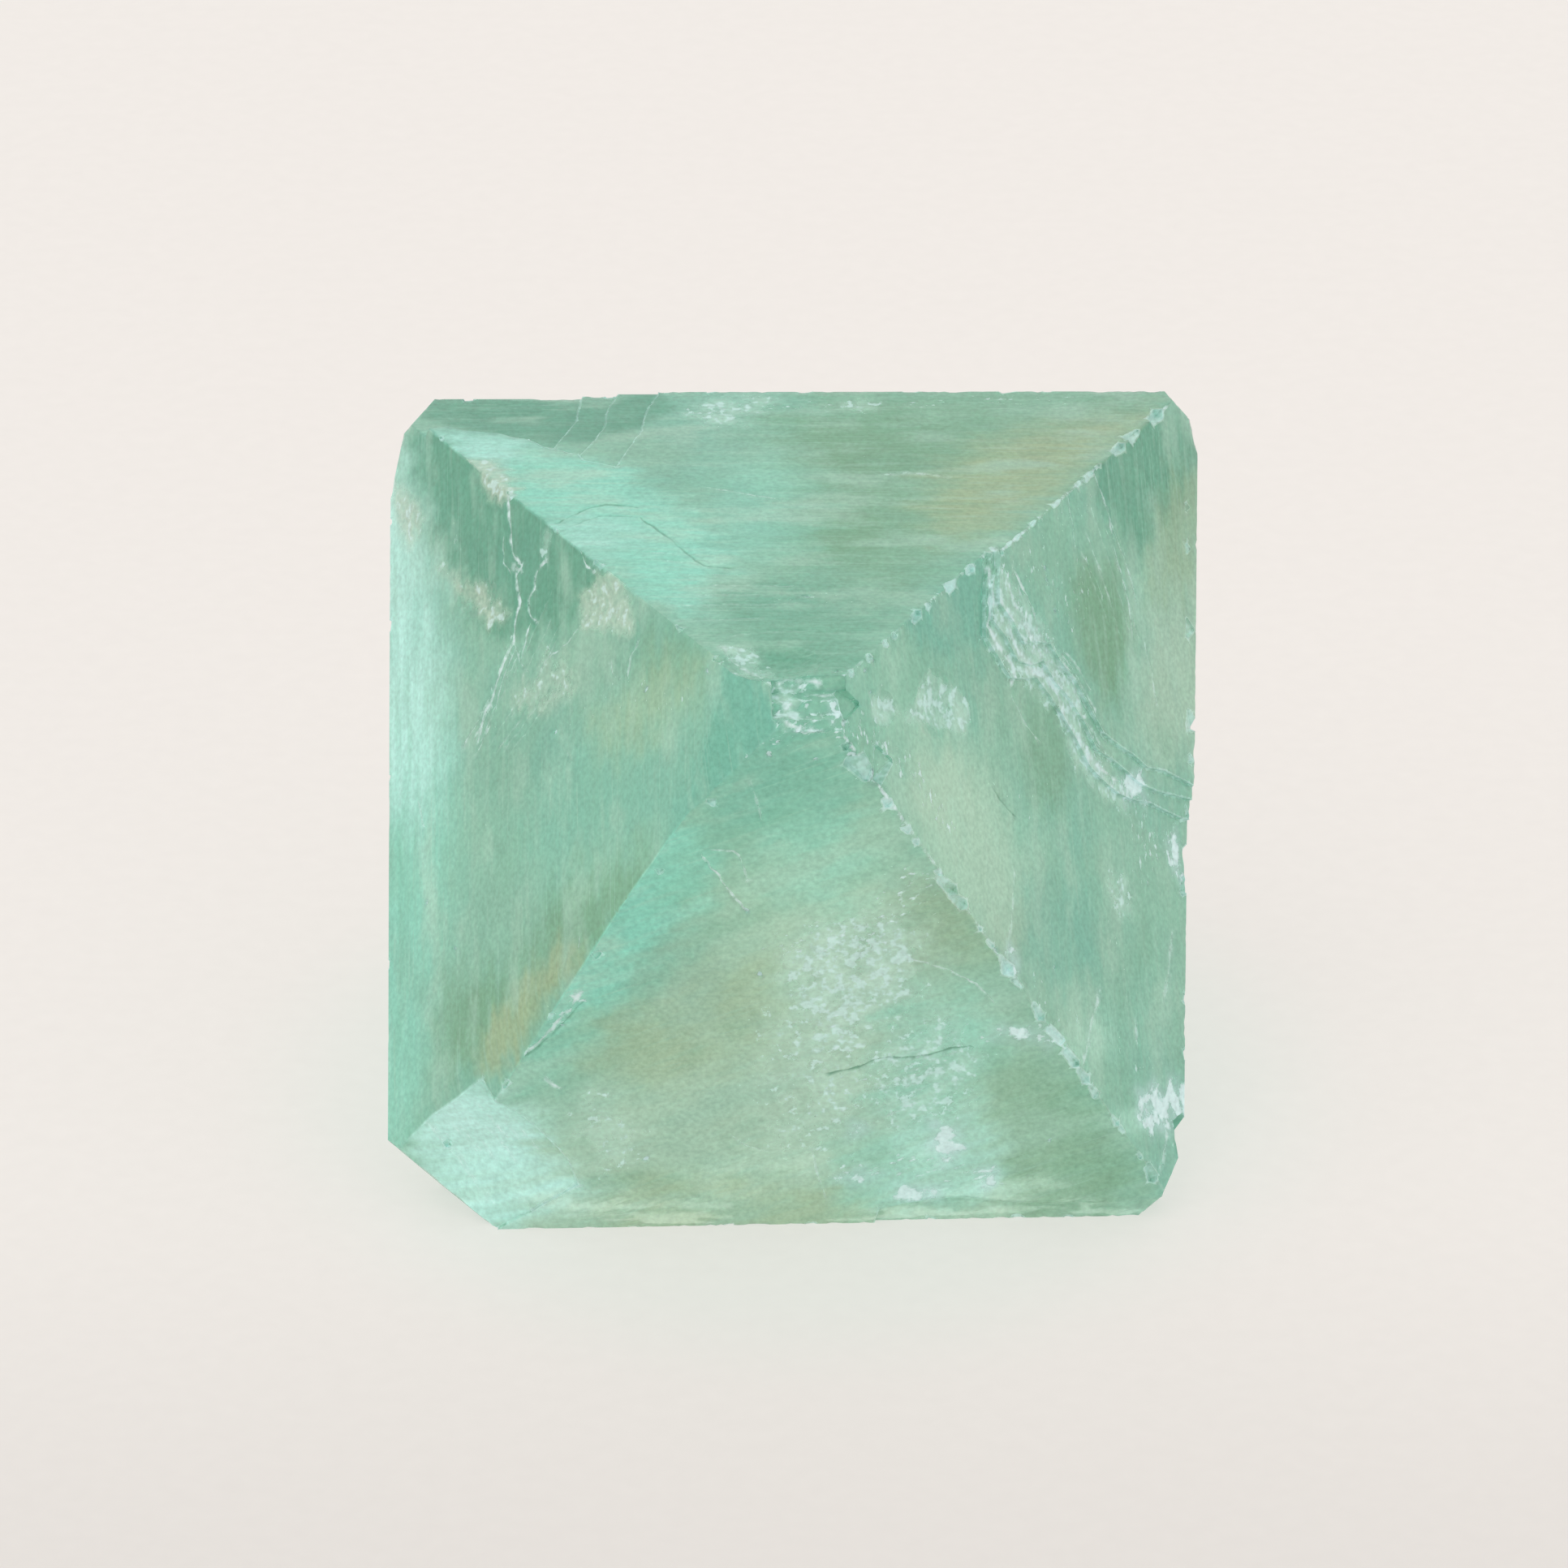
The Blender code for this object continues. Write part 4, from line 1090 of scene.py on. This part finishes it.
def body(red, green, blue):
    """Base colour that makes the cloudy stone look a screen colour: what is lost inside it is given back."""
    seen = screen(red, green, blue)
    return tuple(min(0.97, part * gain) for part, gain in zip(seen, BODY_GAIN)) + (1.0,)


BODY_GAIN = (1.26, 1.30, 1.33)
GREEN = body(153, 200, 178)
GREEN_CLOUD = body(143, 198, 179)
PALE_STREAK = body(180, 216, 197)
PALE_PATCH = body(182, 215, 196)
DEEP_PATCH = body(128, 182, 156)
BREAK_WHITE = body(198, 236, 226)
GLINT_WHITE = body(202, 248, 238)

# Mask, colour, share of it at full mask, which texture breaks it up, and how much.
TINTS = [
    # Pale is paler stone; the wide pale cloud on the front is painted light.
    ("pale", body(196, 220, 199), 0.95, "clouds", 1.0),
    ("teal", body(128, 194, 176), 0.85, "streaks", 1.5),
    ("deep", body(100, 165, 140), 0.9, "streaks", 1.5),
    ("olive", body(128, 172, 138), 0.85, "clouds", 2.0),
    ("khaki", body(182, 192, 152), 0.8, "streaks", 1.6),
    ("aqua", body(146, 219, 199), 0.9, "streaks", 1.8),
    # Painted light: glow is bright mint where the stone looks lit from within.
    ("glow", body(179, 239, 213), 0.95, "streaks", 1.6),
    ("cream", body(192, 203, 184), 0.75, "grit", 2.0),
    ("veil", body(188, 217, 202), 0.7, "mottle", 2.5),
    ("frost", body(196, 238, 226), 0.8, "mottle", 1.5),
    ("dark", body(84, 138, 112), 0.9, "mottle", 2.0),
    ("crack", body(206, 246, 236), 1.0, "grit", 5.0),
]
# The first tints lie under the streaks and patches that the whole stone shares: texture, where it
# starts and is full, share and colour.
UNDER_STREAKS = 6
SHARED_TINTS = [
    ("streaks", 0.5, 0.72, 0.35, PALE_STREAK),
    ("threads", 0.6, 0.68, 0.28, PALE_STREAK),
    ("patches", 0.5, 0.66, 0.55, PALE_PATCH),
    ("patches", 0.46, 0.3, 0.3, DEEP_PATCH),
]
# Crisp white marks on top: mask, share and colour.
WHITES = [
    ("granules", 0.6, BREAK_WHITE),
    ("break", 0.7, BREAK_WHITE),
    ("splinters", 0.95, GLINT_WHITE),
    ("glint", 0.9, GLINT_WHITE),
]
# How much each mark clouds and roughens the stone, beside the splinters and glints.
CLOUDY_MARKS = {"crack": 0.8, "veil": 0.6, "cream": 0.6, "granules": 0.7, "break": 0.9}
MILKINESS = 0.36
BUMP_HEIGHT = 0.06
ABSORPTION_COLOUR = (0.42, 0.88, 0.70, 1.0)
ABSORPTION_DENSITY = 22.0
TRANSMISSION = 0.42
FLUORITE_IOR = 1.434


class Nodes:
    """Short ways to make and link the nodes of one material."""

    def __init__(self, material):
        self.tree = material.node_tree

    def new(self, kind, **settings):
        node = self.tree.nodes.new(kind)
        for key, value in settings.items():
            setattr(node, key, value)
        return node

    def feed(self, socket, value):
        if isinstance(value, bpy.types.NodeSocket):
            self.tree.links.new(value, socket)
        else:
            socket.default_value = value

    def maths(self, operation, *values, clamp=False):
        node = self.new("ShaderNodeMath", operation=operation, use_clamp=clamp)
        for socket, value in zip(node.inputs, values):
            self.feed(socket, value)
        return node.outputs[0]

    def times(self, first, second):
        return self.maths("MULTIPLY", first, second)

    def most(self, *values):
        """The greatest of some values."""
        greatest = values[0]
        for value in values[1:]:
            greatest = self.maths("MAXIMUM", greatest, value)
        return greatest

    def raw(self, kind):
        """A mask as it is stored on the mesh."""
        return self.attribute(kind).outputs["Fac"]

    def mix(self, share, a, b):
        node = self.new("ShaderNodeMix", data_type="RGBA")
        self.feed(node.inputs["Factor"], share)
        self.feed(node.inputs[6], a)
        self.feed(node.inputs[7], b)
        return node.outputs[2]

    def attribute(self, name):
        return self.new("ShaderNodeAttribute", attribute_name=name)

    def noise(self, vector, stretch, detail):
        mapping = self.new("ShaderNodeMapping")
        self.feed(mapping.inputs["Vector"], vector)
        mapping.inputs["Scale"].default_value = stretch
        node = self.new("ShaderNodeTexNoise")
        self.feed(node.inputs["Vector"], mapping.outputs[0])
        node.inputs["Scale"].default_value = 1.0
        node.inputs["Detail"].default_value = detail
        return node.outputs["Fac"]

    def step(self, value, low, high):
        node = self.new("ShaderNodeMapRange", interpolation_type="SMOOTHSTEP")
        self.feed(node.inputs["Value"], value)
        node.inputs["From Min"].default_value = low
        node.inputs["From Max"].default_value = high
        return node.outputs[0]

    def crisp(self, mask, texture, reach, low, high):
        """A mask with sharp, broken borders: full where it and the texture together pass a level."""
        passed = self.step(self.maths("MULTIPLY_ADD", mask, reach, texture), low, high)
        return self.times(passed, self.step(mask, 0.02, 0.15))

    def broken_up(self, mask, texture, amount):
        """A mask made uneven: around its own value times one plus the texture's swing."""
        swing = self.maths("MULTIPLY_ADD", texture, amount, 1.0 - amount / 2.0)
        return self.maths("MULTIPLY", mask, swing, clamp=True)


# Noises that all of the stone's marks share. Some follow the streaks of each face, with their
# waves per millimetre along and over the streaks. The others fill the stone, in waves per metre.
STREAKED_NOISES = {
    "patches": (0.16, 0.34, 5.0),
    "streaks": (0.22, 1.6, 5.0),
    "threads": (0.16, 6.5, 2.0),
    "fibres": (0.6, 5.0, 4.0),
    "sparks": (2.2, 3.8, 5.0),
}
EVEN_NOISES = {
    "clouds": (160.0, 4.0),
    "mottle": (900.0, 6.0),
    "shards": (1500.0, 6.0),
    "grit": (2100.0, 5.0),
    "dust": (4200.0, 2.0),
}


def stone_textures(nodes):
    """The noises by name."""
    place = nodes.new("ShaderNodeTexCoord").outputs["Object"]
    grain = nodes.attribute("grain").outputs["Vector"]
    textures = {}
    for name, (along, over, detail) in STREAKED_NOISES.items():
        textures[name] = nodes.noise(grain, (along, over, 1.0), detail)
    for name, (scale, detail) in EVEN_NOISES.items():
        textures[name] = nodes.noise(place, (scale, scale, scale), detail)
    return textures


def stone_masks(nodes, textures):
    """The masks of the marks, broken up by the textures."""
    masks = {}
    for kind, _, _, texture, amount in TINTS:
        masks[kind] = nodes.broken_up(nodes.raw(kind), textures[texture], amount)
    whole_break = nodes.raw("break")
    crumbled = nodes.crisp(whole_break, textures["grit"], 0.45, 0.66, 0.8)
    masks["break"] = nodes.maths("MULTIPLY_ADD", crumbled, 0.4, nodes.times(whole_break, 0.6))
    masks["splinters"] = nodes.crisp(nodes.raw("frost"), textures["shards"], 0.4, 0.74, 0.84)
    grainy = nodes.most(nodes.raw("veil"), nodes.times(nodes.raw("cream"), 0.6))
    masks["granules"] = nodes.crisp(grainy, textures["grit"], 0.26, 0.66, 0.76)
    sparks = nodes.maths("MULTIPLY_ADD", nodes.raw("glint"), 0.24, textures["sparks"])
    masks["glint"] = nodes.step(sparks, 0.74, 0.86)
    return masks


def stone_colour(nodes, textures, masks):
    """Green stone with its clouds, streaks, cracks and breaks."""
    colour = nodes.mix(nodes.step(textures["clouds"], 0.38, 0.66), GREEN, GREEN_CLOUD)
    for kind, tint, share, _, _ in TINTS[:UNDER_STREAKS]:
        colour = nodes.mix(nodes.times(masks[kind], share), colour, tint)
    for texture, low, high, share, tint in SHARED_TINTS:
        colour = nodes.mix(nodes.times(nodes.step(textures[texture], low, high), share), colour, tint)
    for kind, tint, share, _, _ in TINTS[UNDER_STREAKS:]:
        colour = nodes.mix(nodes.times(masks[kind], share), colour, tint)
    for kind, share, tint in WHITES:
        colour = nodes.mix(nodes.times(masks[kind], share), colour, tint)
    tinted = nodes.new("ShaderNodeVectorMath", operation="SCALE")
    nodes.feed(tinted.inputs[0], colour)
    grain = nodes.maths("MULTIPLY_ADD", textures["dust"], 0.55, 0.725)
    uneven = nodes.maths("MULTIPLY_ADD", textures["mottle"], 0.2, 0.9)
    nodes.feed(tinted.inputs["Scale"], nodes.times(grain, uneven))
    return tinted.outputs[0]


def fluorite():
    """Cloudy, glassy green stone; its clouds, streaks, cracks and breaks follow the masks."""
    material = bpy.data.materials.new("fluorite")
    material.use_nodes = True
    nodes = Nodes(material)
    shader = material.node_tree.nodes["Principled BSDF"]
    output = material.node_tree.nodes["Material Output"]
    textures = stone_textures(nodes)
    masks = stone_masks(nodes, textures)
    nodes.feed(shader.inputs["Base Color"], stone_colour(nodes, textures, masks))

    cloudy = nodes.most(masks["splinters"], masks["glint"],
                        *(nodes.times(masks[kind], share) for kind, share in CLOUDY_MARKS.items()))
    roughness = nodes.maths("MULTIPLY_ADD", textures["mottle"], 0.16, 0.14)
    roughness = nodes.maths("MULTIPLY_ADD", cloudy, 0.25, roughness)
    roughness = nodes.maths("MULTIPLY_ADD", masks["break"], 0.12, roughness, clamp=True)
    nodes.feed(shader.inputs["Roughness"], roughness)

    milky = nodes.most(cloudy, nodes.times(masks["glow"], 0.95), nodes.times(masks["aqua"], 0.35))
    clearness = nodes.maths("MULTIPLY_ADD", milky, -MILKINESS, TRANSMISSION, clamp=True)
    nodes.feed(shader.inputs["Transmission Weight"], clearness)
    shader.inputs["IOR"].default_value = FLUORITE_IOR

    height = nodes.maths("MULTIPLY_ADD", textures["fibres"], 0.5, nodes.times(textures["mottle"], 0.7))
    height = nodes.maths("MULTIPLY_ADD", textures["dust"], 0.2, height)
    height = nodes.maths("MULTIPLY_ADD", textures["grit"], cloudy, height)
    bump = nodes.new("ShaderNodeBump")
    bump.inputs["Strength"].default_value = 0.6
    bump.inputs["Distance"].default_value = BUMP_HEIGHT * MM
    nodes.feed(bump.inputs["Height"], height)
    nodes.feed(shader.inputs["Normal"], bump.outputs[0])

    absorption = nodes.new("ShaderNodeVolumeAbsorption")
    absorption.inputs["Color"].default_value = ABSORPTION_COLOUR
    absorption.inputs["Density"].default_value = ABSORPTION_DENSITY
    nodes.feed(output.inputs["Volume"], absorption.outputs[0])
    return material


# ---------------------------------------------------------------- the setting

# The camera looks at a point given from the stone's front tip, from the front and above.
AIM_FROM_TIP = np.array([-0.75, 23.16, -14.66])
VIEW_ELEVATION = 27.0
VIEW_DISTANCE = 400.0
FOCAL_PIXELS = 10474.0
IMAGE_PIXELS = 1932.0
SENSOR_WIDTH = 36.0

FLOOR_SIZE = 6000.0
FLOOR_GLOW = 0.62
PAPER_LIGHT = (1.0, 0.955, 0.915, 1.0)
PAPER_GRAIN = 0.06

# Painted shadow: round the stone the paper glows greener, as its shadow and the green light through it;
# painted shade darkens the paper towards the viewer.
PAINTED_GREEN_SHADOW = (0.95, 0.965, 0.915, 1.0)
PAINTED_GREEN_SHADOW_REACH = (19.0, 29.0)
PAINTED_FRONT_SHADE = 0.14
PAINTED_FRONT_SHADE_REACH = (-5.0, -50.0)
PAPER_COLOUR = (0.27, 0.255, 0.24, 1.0)

SKY_COLOUR = (1.0, 0.985, 0.97, 1.0)
SKY_LIGHT = 0.85
KEY_LIGHT = {
    "azimuth": -140.0, "elevation": 55.0, "strength": 0.35, "spread": 50.0, "colour": (1.0, 0.98, 0.95),
}


def add_camera(tip):
    """Camera at the viewing angle, with the stone framed a little above the middle."""
    data = bpy.data.cameras.new("camera")
    data.sensor_width = SENSOR_WIDTH
    data.lens = SENSOR_WIDTH * FOCAL_PIXELS / IMAGE_PIXELS
    data.clip_end = 10.0
    camera = bpy.data.objects.new("camera", data)
    lift = math.radians(VIEW_ELEVATION)
    back = np.array([0.0, -math.cos(lift), math.sin(lift)])
    camera.location = Vector((tip + AIM_FROM_TIP + back * VIEW_DISTANCE) * MM)
    camera.rotation_euler = (math.pi / 2.0 - lift, 0.0, 0.0)
    bpy.context.scene.collection.objects.link(camera)
    bpy.context.scene.camera = camera


def add_floor():
    """Pale paper floor that glows a little, greener round the stone as painted shadow, dimmer towards the
    viewer as painted shade.
    """
    half = FLOOR_SIZE * MM / 2.0
    data = bpy.data.meshes.new("floor")
    corners = [(-half, -half, 0.0), (half, -half, 0.0), (half, half, 0.0), (-half, half, 0.0)]
    data.from_pydata(corners, [], [(0, 1, 2, 3)])
    floor = bpy.data.objects.new("floor", data)
    bpy.context.scene.collection.objects.link(floor)
    material = bpy.data.materials.new("floor_paper")
    material.use_nodes = True
    shader = material.node_tree.nodes["Principled BSDF"]
    shader.inputs["Base Color"].default_value = PAPER_COLOUR
    shader.inputs["Roughness"].default_value = 0.9
    shader.inputs["Specular IOR Level"].default_value = 0.2
    nodes = Nodes(material)
    place = nodes.new("ShaderNodeTexCoord").outputs["Object"]
    away = nodes.new("ShaderNodeVectorMath", operation="LENGTH")
    nodes.feed(away.inputs[0], place)
    # Painted shadow: the paper's glow turns greener round the stone.
    near = nodes.step(away.outputs["Value"], PAINTED_GREEN_SHADOW_REACH[1] * MM, PAINTED_GREEN_SHADOW_REACH[0] * MM)
    nodes.feed(shader.inputs["Emission Color"], nodes.mix(near, PAPER_LIGHT, PAINTED_GREEN_SHADOW))
    parts = nodes.new("ShaderNodeSeparateXYZ")
    nodes.feed(parts.inputs[0], place)
    # Painted shade: the paper's glow is dimmed towards the viewer.
    front = nodes.step(parts.outputs["Y"], PAINTED_FRONT_SHADE_REACH[0] * MM, PAINTED_FRONT_SHADE_REACH[1] * MM)
    fibre = nodes.noise(place, (900.0, 900.0, 900.0), 3.0)
    paper = nodes.maths("MULTIPLY_ADD", fibre, PAPER_GRAIN, 1.0 - PAPER_GRAIN / 2.0)
    dimmed = nodes.maths("MULTIPLY_ADD", front, FLOOR_GLOW * -PAINTED_FRONT_SHADE, FLOOR_GLOW)
    nodes.feed(shader.inputs["Emission Strength"], nodes.times(dimmed, paper))
    data.materials.append(material)


def add_sun(name, azimuth, elevation, strength, spread, colour):
    """Very soft light from one side of the sky."""
    data = bpy.data.lights.new(name, "SUN")
    data.energy = strength
    data.angle = math.radians(spread)
    data.color = colour
    light = bpy.data.objects.new(name, data)
    towards = Vector(direction(azimuth, elevation))
    light.rotation_euler = towards.to_track_quat("Z", "Y").to_euler()
    bpy.context.scene.collection.objects.link(light)


def add_sky():
    """Even white surroundings."""
    world = bpy.data.worlds.new("studio")
    world.use_nodes = True
    background = world.node_tree.nodes["Background"]
    background.inputs["Color"].default_value = SKY_COLOUR
    background.inputs["Strength"].default_value = SKY_LIGHT
    bpy.context.scene.world = world


def main():
    solid = Solid(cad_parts[NODE].data)
    faces, corners = solid.faces()
    lines = draw_lines()
    mesh = mesh_stone(solid, faces, corners["tip"], lines)
    points, masks = shape_stone(mesh, lines)
    stone = make_object(mesh, points, masks)
    stone.data.materials.append(fluorite())
    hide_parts(NODE)
    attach(stone, "root")
    add_camera(corners["tip"])
    add_floor()
    add_sky()
    add_sun("key", **KEY_LIGHT)
    bpy.context.scene.view_settings.view_transform = "Standard"
    print("stone mesh:", len(stone.data.vertices), "points,", len(stone.data.polygons), "triangles")


main()
